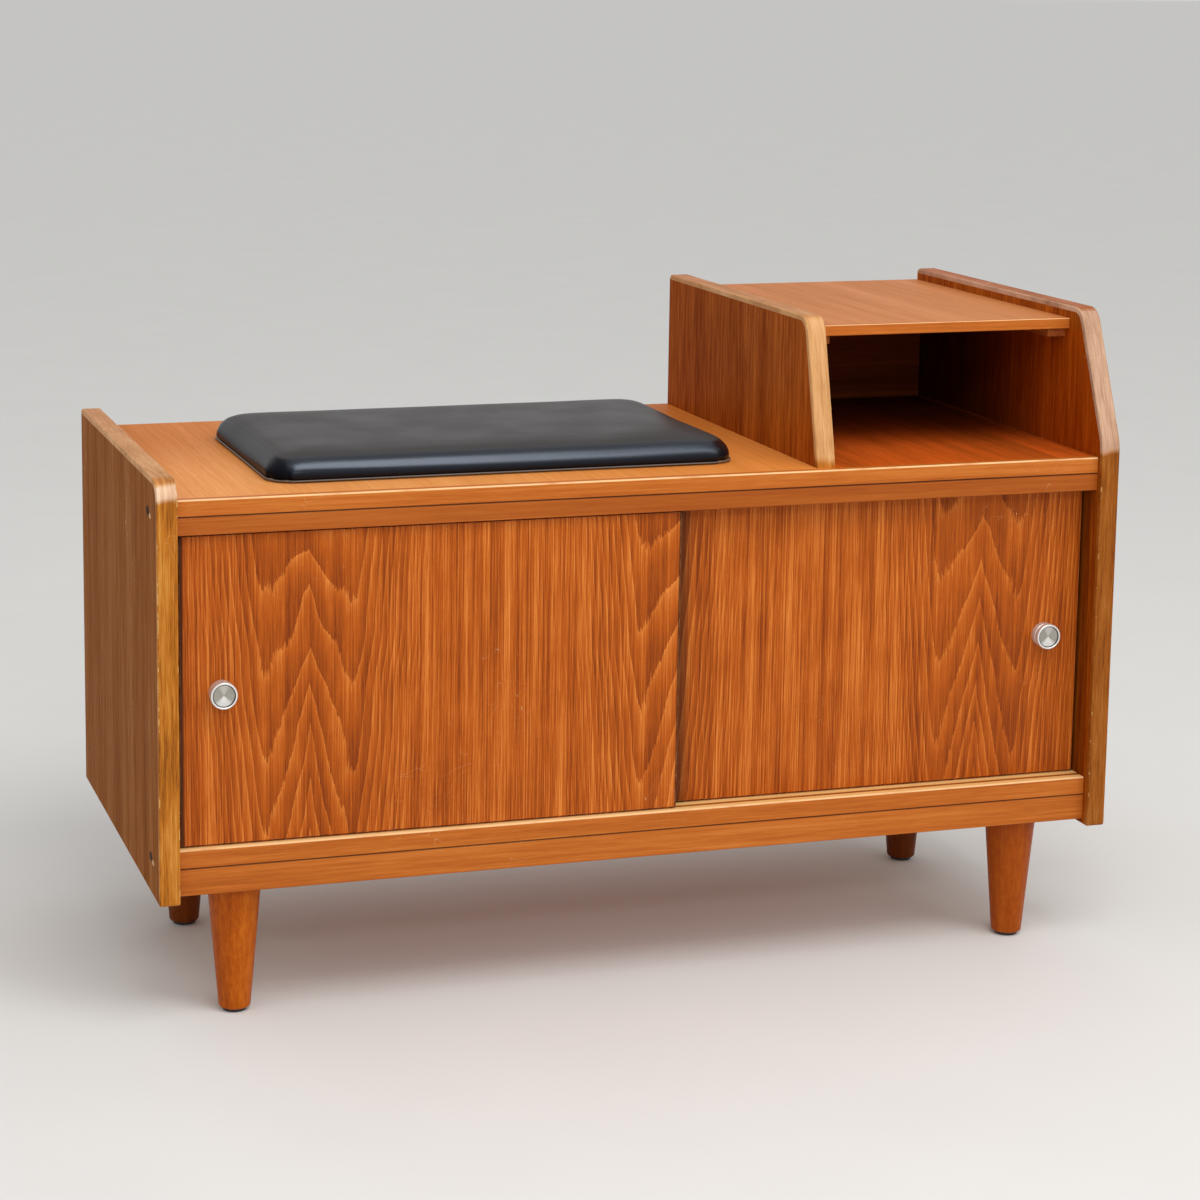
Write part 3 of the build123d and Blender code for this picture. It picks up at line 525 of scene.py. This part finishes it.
def door_wood(name):
    """Sliced veneer in leaves, each with nested arches over its heart and straight streaks beside them."""
    finish = Finish(name)
    whole = finish.place()
    x, y, z = [finish.math("DIVIDE", part, MM) for part in finish.parts(whole)]
    behind = finish.spread(y, door_high.y / MM + 1.0, door_high.y / MM + 2.0)
    rings, away, leaf = ring_count(finish, finish.math("MULTIPLY_ADD", behind, right_leaf_shift, x), z)
    streaks = fibres(finish, x, leaf, z, 1.5, 240.0, 3, 0.7)
    fine = fibres(finish, x, 0.0, z, 0.6, 34.0, 2, 0.6)
    bands = fibres(finish, x, 3.0, z, 11.0, 420.0, 1)
    patches = fibres(finish, x, y, z, 26.0, 40.0, 3)
    specks = fibres(finish, x, y, z, 1.1, 1.8, 2)

    ring = finish.math("FRACT", rings)
    number = finish.math("FLOOR", rings)
    strength = finish.noise(finish.joined(finish.times(number, 1.7), finish.times(leaf, 2.2), 0.5))
    strength = finish.math("MULTIPLY_ADD", strength, 0.9, 0.25)
    strength = finish.times(strength, finish.spread(away, 60.0, 125.0, 1.0, 0.32))
    line = finish.math("EXPONENT", finish.math("DIVIDE", ring, -0.07))
    frayed = around(finish, streaks, 0.5, ring)
    body = finish.math("POWER", finish.math("SUBTRACT", 1.0, frayed, clamp=True), 1.2)
    figure = finish.math("MULTIPLY_ADD", line, 0.30, finish.math("MULTIPLY_ADD", body, 0.52, -0.22))
    value = finish.math("MULTIPLY_ADD", figure, strength, finish.spread(away, 40.0, 110.0, 0.38, 0.48))
    value = around(finish, streaks, finish.spread(away, 30.0, 80.0, 1.3, 2.3), value)
    value = around(finish, bands, 0.9, value)
    value = around(finish, fine, 1.0, value)
    value = around(finish, patches, 0.35, value)
    value = around(finish, specks, 0.14, value)
    colour = finish.tones(value, DOOR_DARK, DOOR_MID, DOOR_LIGHT)
    colour = door_edge_shadows(finish, colour, x, behind)
    colour = wear(finish, colour, finish.arris("Y"), 0.25, whole)
    colour = scratched(finish, colour, whole, 0.35)
    return finish_wood(finish, colour, value, 0.08 * MM, 0.42, 0.12)


def door_edge_shadows(finish, colour, x, behind):
    """Painted shadows: dark beside the left panel and along the left door's right edge, and a band on the door
    behind, as if cast by the door in front.
    """
    # painted shadow in the gap beside the left panel
    panel_gap_shadow = finish.spread(x, door_low.x / MM + 4.0, door_low.x / MM + 2.4)
    colour = finish.over(colour, linear(GRIME_AND_SHADE), panel_gap_shadow, 0.85)
    # painted shadow of the left door on the door behind it
    left_door_shadow = finish.spread(x, door_high.x / MM + 20.0, door_high.x / MM + 6.0)
    colour = finish.over(colour, linear(GRIME_AND_SHADE), behind, left_door_shadow, 0.7)
    # painted shade along the left door's right edge, where the doors meet
    meeting_shadow = finish.spread(x, door_high.x / MM - 2.4, door_high.x / MM - 0.9)
    meeting_shadow = finish.math("SUBTRACT", meeting_shadow, behind, clamp=True)
    return finish.over(colour, linear(GRIME_AND_SHADE), meeting_shadow, 0.8)


def top_wood(name):
    """The bench top and the shelf: grain from front to back, redder to the right, with painted shade toward
    the back and on the compartment's floor.
    """
    finish = Finish(name)
    whole = finish.place()
    across, deep, up = finish.parts(whole)
    value = wood_value(finish, *wood_streaks(finish, grain_place(finish, "Y"), 5.0), 0.7)
    colour = finish.tones(value, TOP_DARK, TOP_MID, TOP_LIGHT)
    redder = finish.spread(across, -0.30, 0.10, 0.0, 0.6)
    colour = finish.mix(redder, colour, finish.shades(value, TOP_RICH))
    # painted shade: the top darker toward the back, where less light falls
    darker = finish.spread(deep, -0.12, 0.12, 0.0, 0.75)
    colour = finish.mix(darker, colour, finish.shades(value, TOP_BACK_SHADE))
    on_shelf = finish.spread(up, seat_level + 40 * MM, seat_level + 60 * MM)
    colour = finish.over(colour, finish.shades(value, SHELF_MID), on_shelf, 0.88)
    # painted shade on the compartment's floor: a darker shaded colour, darker still toward the back
    inside = finish.times(
        finish.math("SUBTRACT", 1.0, on_shelf),
        finish.spread(across, compartment_left - 12 * MM, compartment_left),
        finish.spread(finish.facing()[2], 0.5, 0.9),
    )
    colour = finish.over(colour, finish.shades(value, COMPARTMENT_SHADE, 1.0), inside, 0.8)
    colour = finish.over(colour, linear(GRIME_AND_SHADE), inside, finish.spread(deep, -0.14, 0.10, 0.0, 0.8))
    colour = scratched(finish, colour, whole, 0.4)
    return finish_wood(finish, colour, value, 0.08 * MM, 0.40, 0.02)


def rail_wood(name):
    """Rails and strips along the width: their upper front corners pale, rubbed and with a painted highlight,
    their lower edges in painted shade, the seams between them dark.
    """
    finish = Finish(name)
    whole = finish.place()
    value = wood_value(finish, *wood_streaks(finish, grain_place(finish, "X"), 21.0), 0.9)
    colour = finish.tones(value, RAIL_DARK, RAIL_MID, RAIL_LIGHT)
    _, _, above = finish.facing()
    _, _, up = finish.parts(whole)
    corner = finish.arris("Y")
    # upward-facing rounded edges: rubbed wood and a painted highlight
    upper = finish.times(corner, finish.spread(above, 0.05, 0.3))
    upper_rail = finish.math("COMPARE", up, upper_seam - 12 * MM, 12 * MM)
    colour = finish.over(colour, linear(RAIL_DARK), upper_rail, 0.4)
    for seam in (upper_seam, lower_seam):
        near = finish.math("COMPARE", up, seam, 1.4 * MM)
        upper = finish.times(upper, finish.math("SUBTRACT", 1.0, near))
        colour = finish.over(colour, linear(GRIME_AND_SHADE), corner, near, 0.7)
    # painted shade on the rounded edges that face down
    colour = finish.over(colour, linear(GRIME_AND_SHADE), corner, finish.spread(above, -0.05, -0.3), 0.35)
    colour = pale_ledge(finish, colour, value, above, up)
    patchy = finish.noise(finish.stretched(whole, (34, 90, 90)), detail=5)
    broken = finish.spread(patchy, 0.30, 0.52, 0.45, 1.0)
    colour = finish.over(colour, linear(RUBBED_AND_HIGHLIGHT), upper, broken)
    colour = scratched(finish, colour, whole, 0.4)
    return finish_wood(finish, colour, value, 0.10 * MM, 0.40, 0.12)


def pale_ledge(finish, colour, value, above, up):
    """The lower track's top face, rubbed pale by the doors and by hands."""
    at_ledge = finish.math("COMPARE", up, ledge_level, 2 * MM)
    pale = finish.tones(value, LEDGE_DARK, LEDGE_MID, LEDGE_LIGHT)
    return finish.over(colour, pale, finish.spread(above, 0.6, 0.95), at_ledge, 0.9)


def floor_wood(name):
    """The cabinet's floor board: like the rails, with its ledge before the doors rubbed pale."""
    finish = Finish(name)
    value = wood_value(finish, *wood_streaks(finish, grain_place(finish, "X"), 7.0))
    colour = finish.tones(value, RAIL_DARK, RAIL_MID, RAIL_LIGHT)
    _, deep, up = finish.parts(finish.place())
    above = finish.times(finish.facing()[2], finish.spread(deep, -0.150, -0.165))
    colour = pale_ledge(finish, colour, value, above, up)
    return finish_wood(finish, colour, value, 0.10 * MM, 0.42, 0.1)


def back_wood(name):
    """The backs: thin plywood, its lower edge in the compartment a little paler."""
    finish = Finish(name)
    value = wood_value(finish, *wood_streaks(finish, grain_place(finish, "X"), 11.0))
    colour = finish.tones(value, BACK_DARK, BACK_MID, BACK_LIGHT)
    whole = finish.place()
    _, _, up = finish.parts(whole)
    line = finish.math("COMPARE", up, seat_level + 3.5 * MM, 2.2 * MM)
    colour = finish.over(colour, linear(CAP_MID), line, 0.6)
    colour = scratched(finish, colour, whole, 0.25)
    return finish_wood(finish, colour, value, 0.10 * MM, 0.50, 0.08)


def leg_wood(name):
    """Turned hardwood: fine upright grain, mottled, darker to the right, and with painted shade on the rear
    legs.
    """
    finish = Finish(name)
    whole = finish.place()
    across, deep, _ = finish.parts(whole)
    mottle = finish.noise(finish.stretched(whole, (220, 220, 120)), detail=4, roughness=0.7)
    value = wood_value(finish, *wood_streaks(finish, grain_place(finish, "Z"), 17.0), 0.8)
    value = around(finish, mottle, 0.9, value)
    colour = finish.tones(value, LEG_DARK, LEG_MID, LEG_LIGHT)
    colour = finish.mix(finish.spread(across, -0.2, 0.3, 0.0, 0.5), colour, finish.shades(value, LEG_SHADE))
    # painted shade on the rear legs
    colour = finish.mix(finish.spread(deep, -0.05, 0.05, 0.0, 0.75), colour, finish.shades(value, LEG_REAR_SHADE))
    colour = scratched(finish, colour, whole, 0.4)
    return finish_wood(finish, colour, value, 0.08 * MM, 0.36, 0.12)


# ---------------------------------------------------------------- other materials
def vinyl(name):
    """Leathercloth with a fine pebbled grain: near black and glossy round its front; its flat top paler and
    less glossy, a painted reflection of the sky.
    """
    finish = Finish(name)
    place = finish.place()
    pebbles = finish.node("TexVoronoi", "Distance", {"Vector": place, "Scale": 900.0}, feature="SMOOTH_F1")
    cloud = finish.noise(finish.stretched(place, (14, 14, 14)), detail=3)
    towards_end, _, above = finish.facing()
    # painted reflection: the flat top a paler colour, with less gloss there
    top_reflection = finish.times(finish.spread(above, 0.80, 0.96), finish.spread(cloud, 0.3, 0.7, 0.95, 1.0))
    colour = finish.mix(top_reflection, linear(VINYL_DARK), linear(VINYL_TOP_REFLECTION))
    grain = finish.math("MULTIPLY_ADD", finish.noise(place, scale=420.0, detail=2), 0.5, pebbles)
    gloss = finish.times(
        finish.math("SUBTRACT", 0.75, finish.times(top_reflection, 0.71)),
        finish.spread(above, 0.30, 0.60, 0.35, 1.0),
        finish.spread(towards_end, -0.15, -0.5, 1.0, 0.12),
    )
    finish.set(Base_Color=colour, Normal=finish.bump(grain, 0.06 * MM, 0.5), Specular_IOR_Level=gloss)
    finish.set(Roughness=finish.math("MULTIPLY_ADD", top_reflection, 0.12, finish.spread(cloud, 0.3, 0.7, 0.24, 0.28)))
    finish.set(Specular_Tint=VINYL_SHINE)
    return finish.material


def brushed_metal(name):
    """Turned aluminium with fine rings about its own Y axis; across its dish a painted reflection, bright fans
    low and high and darker between, with painted shade in the crease round the dish and on the rim's side.
    """
    finish = Finish(name)
    x, y, z = finish.parts(finish.place())
    radius = finish.math("SQRT", finish.math("ADD", finish.times(x, x), finish.times(z, z)))
    rings = finish.noise(finish.joined(finish.times(radius, 9000.0), finish.times(y, 5000.0), 0.0), detail=2)
    # painted reflection: bright fans across the dish by angle, the rest of the dish painted darker
    angle = finish.math("ARCTAN2", x, z)
    upright = finish.math("COSINE", angle)
    lower = finish.spread(upright, -0.45, -0.98)
    upper = finish.times(finish.spread(upright, 0.75, 1.0), 0.35)
    streaked = finish.noise(finish.joined(finish.times(angle, 14.0), 0.0, 0.0), detail=2)
    painted_reflection = finish.math("MAXIMUM", lower, upper)
    painted_reflection = finish.math("MULTIPLY_ADD", finish.math("SUBTRACT", streaked, 0.5), 0.5, painted_reflection, clamp=True)
    dish_radius = 0.80 * knob_radius
    dish = finish.spread(radius, dish_radius, 0.95 * dish_radius)
    shade = finish.times(dish, finish.math("SUBTRACT", 1.0, painted_reflection))
    colour = finish.mix(shade, linear(METAL_LIGHT), linear(METAL_SHADED))
    # painted shade in the crease round the dish
    groove_shade = finish.math("COMPARE", radius, dish_radius, 0.035 * knob_radius)
    in_front = finish.spread(y, 10.0 * MM - knob_depth, 9.0 * MM - knob_depth)
    colour = finish.over(colour, linear(METAL_GROOVE_SHADE), groove_shade, in_front)
    # painted shade on the rim's side, which is also made less metallic
    rim_side = finish.spread(radius, 0.90 * knob_radius, 0.94 * knob_radius)
    metal = finish.math("MULTIPLY_ADD", rim_side, -0.4, 1.0)
    colour = finish.over(colour, linear(METAL_SHADED), rim_side, 0.35)
    finish.set(Base_Color=colour, Metallic=metal, Normal=finish.bump(rings, 0.02 * MM, 0.6))
    finish.set(Roughness=finish.spread(rings, 0.2, 0.8, 0.24, 0.38))
    finish.set(Anisotropic=0.7, Tangent=finish.node("Tangent", 0, {}, direction_type="RADIAL", axis="Y"))
    return finish.material


def plain_steel(name):
    """Zinced steel, slightly mottled. The heads in the side panels' faces are stopped over, brown."""
    finish = Finish(name)
    whole = finish.place()
    across, _, _ = finish.parts(whole)
    mottle = finish.noise(whole, scale=260.0, detail=4)
    colour = finish.tones(mottle, STEEL_DARK, STEEL_LIGHT, STEEL_LIGHT)
    stopped = finish.spread(finish.math("ABSOLUTE", across), bench_end - 2 * MM, bench_end - MM)
    colour = finish.mix(stopped, colour, linear(STOPPING))
    finish.set(Specular_IOR_Level=finish.math("MULTIPLY_ADD", stopped, -0.48, 0.5))
    finish.set(Base_Color=colour, Metallic=finish.math("SUBTRACT", 1.0, stopped))
    finish.set(Normal=finish.bump(mottle, 0.03 * MM))
    finish.set(Roughness=finish.spread(mottle, 0.3, 0.7, 0.34, 0.5))
    return finish.material


def moulded(name, dark, light, roughness, scale=500.0):
    """Plain moulded plastic or foam with a fine uneven surface."""
    finish = Finish(name)
    mottle = finish.noise(finish.place(), scale=scale, detail=4)
    finish.set(Base_Color=finish.tones(mottle, dark, light, light), Normal=finish.bump(mottle, 0.08 * MM))
    finish.set(Roughness=finish.spread(mottle, 0.3, 0.7, roughness - 0.05, roughness + 0.08))
    return finish.material


# ---------------------------------------------------------------- pieces
def mesh_object(name, work):
    """A new object from a finished bmesh."""
    mesh = bpy.data.meshes.new(name)
    work.to_mesh(mesh)
    work.free()
    for face in mesh.polygons:
        face.use_smooth = True
    made = bpy.data.objects.new(name, mesh)
    bpy.context.scene.collection.objects.link(made)
    return made


def ring_of(work, points):
    return [work.verts.new(point) for point in points]


def skin(work, rings, close_ends=True):
    """Faces between each ring of points and the next, and over the two ends."""
    for lower, upper in zip(rings, rings[1:]):
        count = len(lower)
        for i in range(count):
            j = (i + 1) % count
            work.faces.new((lower[i], lower[j], upper[j], upper[i]))
    if close_ends:
        work.faces.new(list(reversed(rings[0])))
        work.faces.new(rings[-1])


knob_low, knob_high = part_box("left_door_knob")
knob_radius = (knob_high.x - knob_low.x) / 2
knob_depth = knob_high.y - knob_low.y


def knob_profile():
    """Half the knob's section, as (radius, distance out from the door)."""
    head = knob_radius
    return [
        (0.90 * head, 0.0), (0.95 * head, 0.5 * MM), (0.955 * head, 1.2 * MM), (0.955 * head, 6.4 * MM),
        (0.94 * head, 6.9 * MM), (0.90 * head, 7.2 * MM), (0.89 * head, 7.5 * MM), (0.90 * head, 7.8 * MM),
        (0.93 * head, 8.2 * MM), (0.985 * head, 8.7 * MM), (head, 9.5 * MM), (head, 12.4 * MM),
        (0.985 * head, 13.3 * MM), (0.94 * head, 13.85 * MM), (0.89 * head, knob_depth),
        (0.85 * head, 13.85 * MM), (0.82 * head, 13.3 * MM), (0.80 * head, 12.7 * MM),
        (0.77 * head, 12.45 * MM), (0.4 * head, 12.1 * MM), (0.04 * head, 11.8 * MM),
    ]


def door_knob(side, metal):
    """A turned spool with a rolled rim round a shallow dish, on its own axis."""
    low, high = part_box(f"{side}_door_knob")
    steps = 96
    turn = [2 * math.pi * i / steps for i in range(steps)]
    work = bmesh.new()
    rings = []
    for radius, out in knob_profile():
        rings.append(ring_of(work, [(radius * math.cos(t), -out, radius * math.sin(t)) for t in turn]))
    skin(work, rings)
    knob = mesh_object(f"{side}_knob_turned", work)
    knob.location = ((low.x + high.x) / 2, high.y, (low.z + high.z) / 2)
    knob.data.materials.append(metal)
    bevel = knob.modifiers.new("arris", "BEVEL")
    bevel.width = 0.15 * MM
    bevel.segments = 2
    bevel.limit_method = "ANGLE"
    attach(knob, f"{side}_door")
    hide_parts(f"{side}_door_knob")


pad_corner = 27 * MM
pad_inset = 1.0 * MM
pad_waist = 1.3 * MM               # how far its sides are drawn in between the corners
pad_voxel = 5 * MM
pad_pressure = 4.0
pad_cap = 2.5 * MM
pad_frames = 20
piping_level = 2.0 * MM
piping_radius = 0.8 * MM
# height above the seat board, how far inside the widest outline
pad_rows = [
    (0.0, 1.6 * MM), (1.0 * MM, 0.8 * MM), (3.0 * MM, 0.2 * MM), (5.0 * MM, 0.0), (8.0 * MM, 0.4 * MM),
    (11.0 * MM, 1.3 * MM), (14.0 * MM, 3.0 * MM), (16.6 * MM, 5.3 * MM), (18.9 * MM, 8.3 * MM),
    (20.8 * MM, 12.2 * MM), (22.3 * MM, 17.5 * MM), (23.4 * MM, 25.0 * MM), (24.2 * MM, 38.0 * MM),
    (24.7 * MM, 58.0 * MM), (25.1 * MM, 86.0 * MM), (25.3 * MM, 118.0 * MM),
]


def pad_outline(inset, level):
    """Points round the pad at one level: a rectangle with round corners, drawn in between its corners."""
    middle = (pad_low + pad_high) / 2
    half_x = (pad_high.x - pad_low.x) / 2 - inset
    half_y = (pad_high.y - pad_low.y) / 2 - inset
    corner = min(max(pad_corner - 0.6 * inset, 9 * MM), half_y - 2 * MM)
    run_x = 2 * (half_x - corner)
    run_y = 2 * (half_y - corner)
    per_corner = 16
    points = []
    # each corner's signs and start in half turns, then the way, run and steps to the next corner
    for sign_x, sign_y, start, ahead, run, count in (
        (1, 1, 0.0, Vector((-1, 0)), run_x, 28),
        (-1, 1, 0.5, Vector((0, -1)), run_y, 16),
        (-1, -1, 1.0, Vector((1, 0)), run_x, 28),
        (1, -1, 1.5, Vector((0, 1)), run_y, 16),
    ):
        centre = Vector((sign_x * (half_x - corner), sign_y * (half_y - corner)))
        for i in range(per_corner + 1):
            angle = math.pi * (start + 0.5 * i / per_corner)
            points.append(centre + corner * Vector((math.cos(angle), math.sin(angle))))
        last = points[-1]
        for i in range(1, count):
            points.append(last + ahead * run * i / count)
    drawn = pad_waist * min(level / (10 * MM), 1.0)
    found = []
    for point in points:
        share_x = abs(point.x) / half_x
        share_y = abs(point.y) / half_y
        pull_y = drawn * (1 - share_x ** 2) * share_y ** 8
        pull_x = drawn * (1 - share_y ** 2) * share_x ** 8
        x = point.x - math.copysign(pull_x, point.x)
        y = point.y - math.copysign(pull_y, point.y)
        found.append((middle.x + x, middle.y + y, pad_low.z + level))
    return found


def apply_modifiers(piece):
    """Bakes the object's modifiers into its mesh."""
    shown = piece.evaluated_get(bpy.context.evaluated_depsgraph_get())
    baked = bpy.data.meshes.new_from_object(shown)
    piece.modifiers.clear()
    piece.data = baked


def evened(mesh, moves, rounds=40):
    """Every point's movement, averaged with its neighbours' again and again."""
    ends = np.array([tuple(edge.vertices) for edge in mesh.edges])
    counts = 1 + np.bincount(ends.ravel(), minlength=len(moves))
    for _ in range(rounds):
        sums = moves.copy()
        np.add.at(sums, ends[:, 0], moves[ends[:, 1]])
        np.add.at(sums, ends[:, 1], moves[ends[:, 0]])
        moves = sums / counts[:, None]
    return moves


def points_of(mesh):
    return np.array([tuple(vertex.co) for vertex in mesh.vertices])


def swell(pad):
    """Lets the covering swell under pressure, its foot held and no point moving further than the cap."""
    remesh = pad.modifiers.new("even", "REMESH")
    remesh.mode = "VOXEL"
    remesh.voxel_size = pad_voxel
    apply_modifiers(pad)
    before = points_of(pad.data)
    cloth = pad.modifiers.new("cloth", "CLOTH")
    cloth.settings.quality = 5
    cloth.settings.use_pressure = True
    cloth.settings.uniform_pressure_force = pad_pressure
    cloth.settings.effector_weights.gravity = 0.0
    scene = bpy.context.scene
    scene.frame_start = 1
    scene.frame_end = pad_frames
    cloth.point_cache.frame_start = 1
    cloth.point_cache.frame_end = pad_frames
    for step in range(1, pad_frames + 1):
        scene.frame_set(step)
    apply_modifiers(pad)
    scene.frame_set(1)
    held = np.clip((before[:, 2] - pad_low.z - 2 * MM) / (6 * MM), 0.0, 1.0)
    moves = (points_of(pad.data) - before) * held[:, None]
    length = np.maximum(np.linalg.norm(moves, axis=1), 1e-9)
    moves *= np.minimum(pad_cap / length, 1.0)[:, None]
    after = before + evened(pad.data, moves)
    for vertex, point in zip(pad.data.vertices, after):
        vertex.co = Vector(point)


def seat_pad(cover, piping):
    """The upholstered pad: a soft crown over rounded sides, and a thin seam above its foot."""
    work = bmesh.new()
    rings = [ring_of(work, pad_outline(inset + pad_inset, level)) for level, inset in pad_rows]
    skin(work, rings)
    pad = mesh_object("seat_pad_upholstery", work)
    swell(pad)
    for face in pad.data.polygons:
        face.use_smooth = True
    pad.data.materials.clear()
    pad.data.materials.append(cover)
    smooth = pad.modifiers.new("soft", "SUBSURF")
    smooth.levels = 1
    smooth.render_levels = 1
    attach(pad, "cabinet")
    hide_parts("seat_pad_cover", "seat_pad_foam")
    seam = pad_seam()
    seam.data.materials.append(piping)
    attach(seam, "cabinet")


def pad_seam():
    """A thin round welt along the seam between the pad's covering and its foot."""
    line = [Vector(point) for point in pad_outline(pad_inset + 1.8 * MM, piping_level)]
    steps = 8
    work = bmesh.new()
    rings = []
    for i, point in enumerate(line):
        ahead = (line[(i + 1) % len(line)] - line[i - 1]).normalized()
        out = ahead.cross(Vector((0, 0, 1)))
        turn = [2 * math.pi * k / steps for k in range(steps)]
        rings.append(ring_of(work, [
            point + piping_radius * (math.cos(t) * out + math.sin(t) * Vector((0, 0, 1))) for t in turn
        ]))
    skin(work, rings + [rings[0]], close_ends=False)
    return mesh_object("seat_pad_seam", work)


# ---------------------------------------------------------------- finishes on the CAD pieces
def finishes():
    """One material for each slot of the record."""
    cleat = (CLEAT_DARK, CLEAT_MID, CLEAT_LIGHT)
    pine = (PINE_DARK, PINE_MID, PINE_LIGHT)
    beech = (BEECH_DARK, BEECH_MID, BEECH_LIGHT)
    return {
        "side_veneer": side_wood("side_veneer_wood"),
        "lipping": lipping_wood("lipping_wood"),
        "top_veneer": top_wood("top_veneer_wood"),
        "rail_wood": rail_wood("rail_wood_worn"),
        "floor_board": floor_wood("floor_board_wood"),
        "door_veneer": door_wood("door_veneer_wood"),
        "back_board": back_wood("back_board_wood"),
        "bearer_wood": plain_wood("bearer_softwood", "Y", pine, seed=13.0, roughness=0.62, sheen=0.1),
        "cleat_wood": plain_wood("cleat_softwood", "Y", cleat, seed=15.0, roughness=0.55, sheen=0.1),
        "leg_wood": leg_wood("leg_hardwood"),
        "glide": moulded("glide_plastic", GLIDE_DARK, GLIDE_LIGHT, 0.5),
        "knob_metal": brushed_metal("knob_aluminium"),
        "steel": plain_steel("fastener_steel"),
        "dowel_wood": plain_wood("dowel_beech", "X", beech, seed=19.0, roughness=0.6, sheen=0.1),
        "pad_vinyl": vinyl("pad_leathercloth"),
        "pad_foam": moulded("pad_foam_cells", PINE_MID, PINE_LIGHT, 0.9, 900.0),
        "pad_board": plain_wood("pad_plywood", "X", beech, seed=23.0, roughness=0.6, sheen=0.1),
    }


def dress_nodes(made):
    """Gives every CAD piece the finish of its slot in the record."""
    for part in frame["record"]["subparts"]:
        node = nodes[part["node"]]
        node.data.materials.clear()
        node.data.materials.append(made[part["material_slot"]])


# ---------------------------------------------------------------- floor, light and camera
def pale_floor():
    """A plain pale ground that reaches past the horizon of the picture."""
    reach = 60.0
    corners = [(-reach, -reach, 0), (reach, -reach, 0), (reach, reach, 0), (-reach, reach, 0)]
    work = bmesh.new()
    work.faces.new(ring_of(work, corners))
    ground = mesh_object("studio_floor", work)
    finish = Finish("studio_floor_paint")
    mottle = finish.noise(finish.place(), scale=6.0, detail=3)
    level = finish.spread(mottle, 0.3, 0.7, 0.985, 1.0)
    finish.set(Base_Color=finish.mix(level, (0.0, 0.0, 0.0, 1.0), linear(FLOOR_COLOUR)), Roughness=0.9)
    ground.data.materials.append(finish.material)


def area_light(name, place, target, size, power, height=None):
    """A soft lamp at place, turned to target, square or of its own height."""
    data = bpy.data.lights.new(name, "AREA")
    data.size = size
    if height:
        data.shape = "RECTANGLE"
        data.size_y = height
    data.energy = power
    lamp = bpy.data.objects.new(name, data)
    lamp.location = place
    lamp.rotation_euler = (Vector(target) - Vector(place)).to_track_quat("-Z", "Y").to_euler()
    bpy.context.scene.collection.objects.link(lamp)


def studio_light():
    """Soft light from all round, with three lamps that brighten the tops and fronts."""
    world = bpy.data.worlds.new("studio")
    world.use_nodes = True
    background = world.node_tree.nodes["Background"]
    background.inputs["Color"].default_value = (1.0, 1.0, 1.0, 1.0)
    background.inputs["Strength"].default_value = 0.72
    bpy.context.scene.world = world
    middle = (0.0, 0.0, 0.3)
    area_light("key", (2.4, -3.2, 3.4), middle, 2.4, 40.0)
    area_light("overhead", (0.1, -1.3, 2.4), middle, 1.2, 20.0)
    area_light("strip", (-0.5, -3.3, 1.95), middle, 1.8, 14.0, height=0.3)


def photo_camera():
    """The photograph's view, worked out from its vanishing points and the bench's corners."""
    position = Vector((-864.6, -2516.9, 919.3)) * MM
    yaw = 0.2922
    pitch = 0.1545
    roll = -0.0085
    focal_pixels = 2846.9
    picture_width = 1200
    centre_x = 480
    centre_y = 400
    forward = Vector((math.cos(pitch) * math.sin(yaw), math.cos(pitch) * math.cos(yaw), -math.sin(pitch)))
    level_right = Vector((math.cos(yaw), -math.sin(yaw), 0.0))
    level_up = level_right.cross(forward)
    right = math.cos(roll) * level_right - math.sin(roll) * level_up
    up = math.sin(roll) * level_right + math.cos(roll) * level_up
    data = bpy.data.cameras.new("photo_camera")
    data.sensor_width = 36.0
    data.lens = focal_pixels * data.sensor_width / picture_width
    data.shift_x = 0.5 - centre_x / picture_width
    data.shift_y = centre_y / picture_width - 0.5
    data.clip_end = 200.0
    camera = bpy.data.objects.new("photo_camera", data)
    bpy.context.scene.collection.objects.link(camera)
    turned = camera.matrix_world
    for row in range(3):
        turned[row][0] = right[row]
        turned[row][1] = up[row]
        turned[row][2] = -forward[row]
        turned[row][3] = position[row]
    camera.matrix_world = turned
    bpy.context.scene.camera = camera


def main():
    made = finishes()
    dress_nodes(made)
    for side in ("left", "right"):
        door_knob(side, made["knob_metal"])
    seat_pad(made["pad_vinyl"], moulded("pad_seam_vinyl", PIPING_DARK, PIPING_LIGHT, 0.4))
    pale_floor()
    studio_light()
    photo_camera()
    bpy.context.scene.view_settings.view_transform = "Standard"


main()
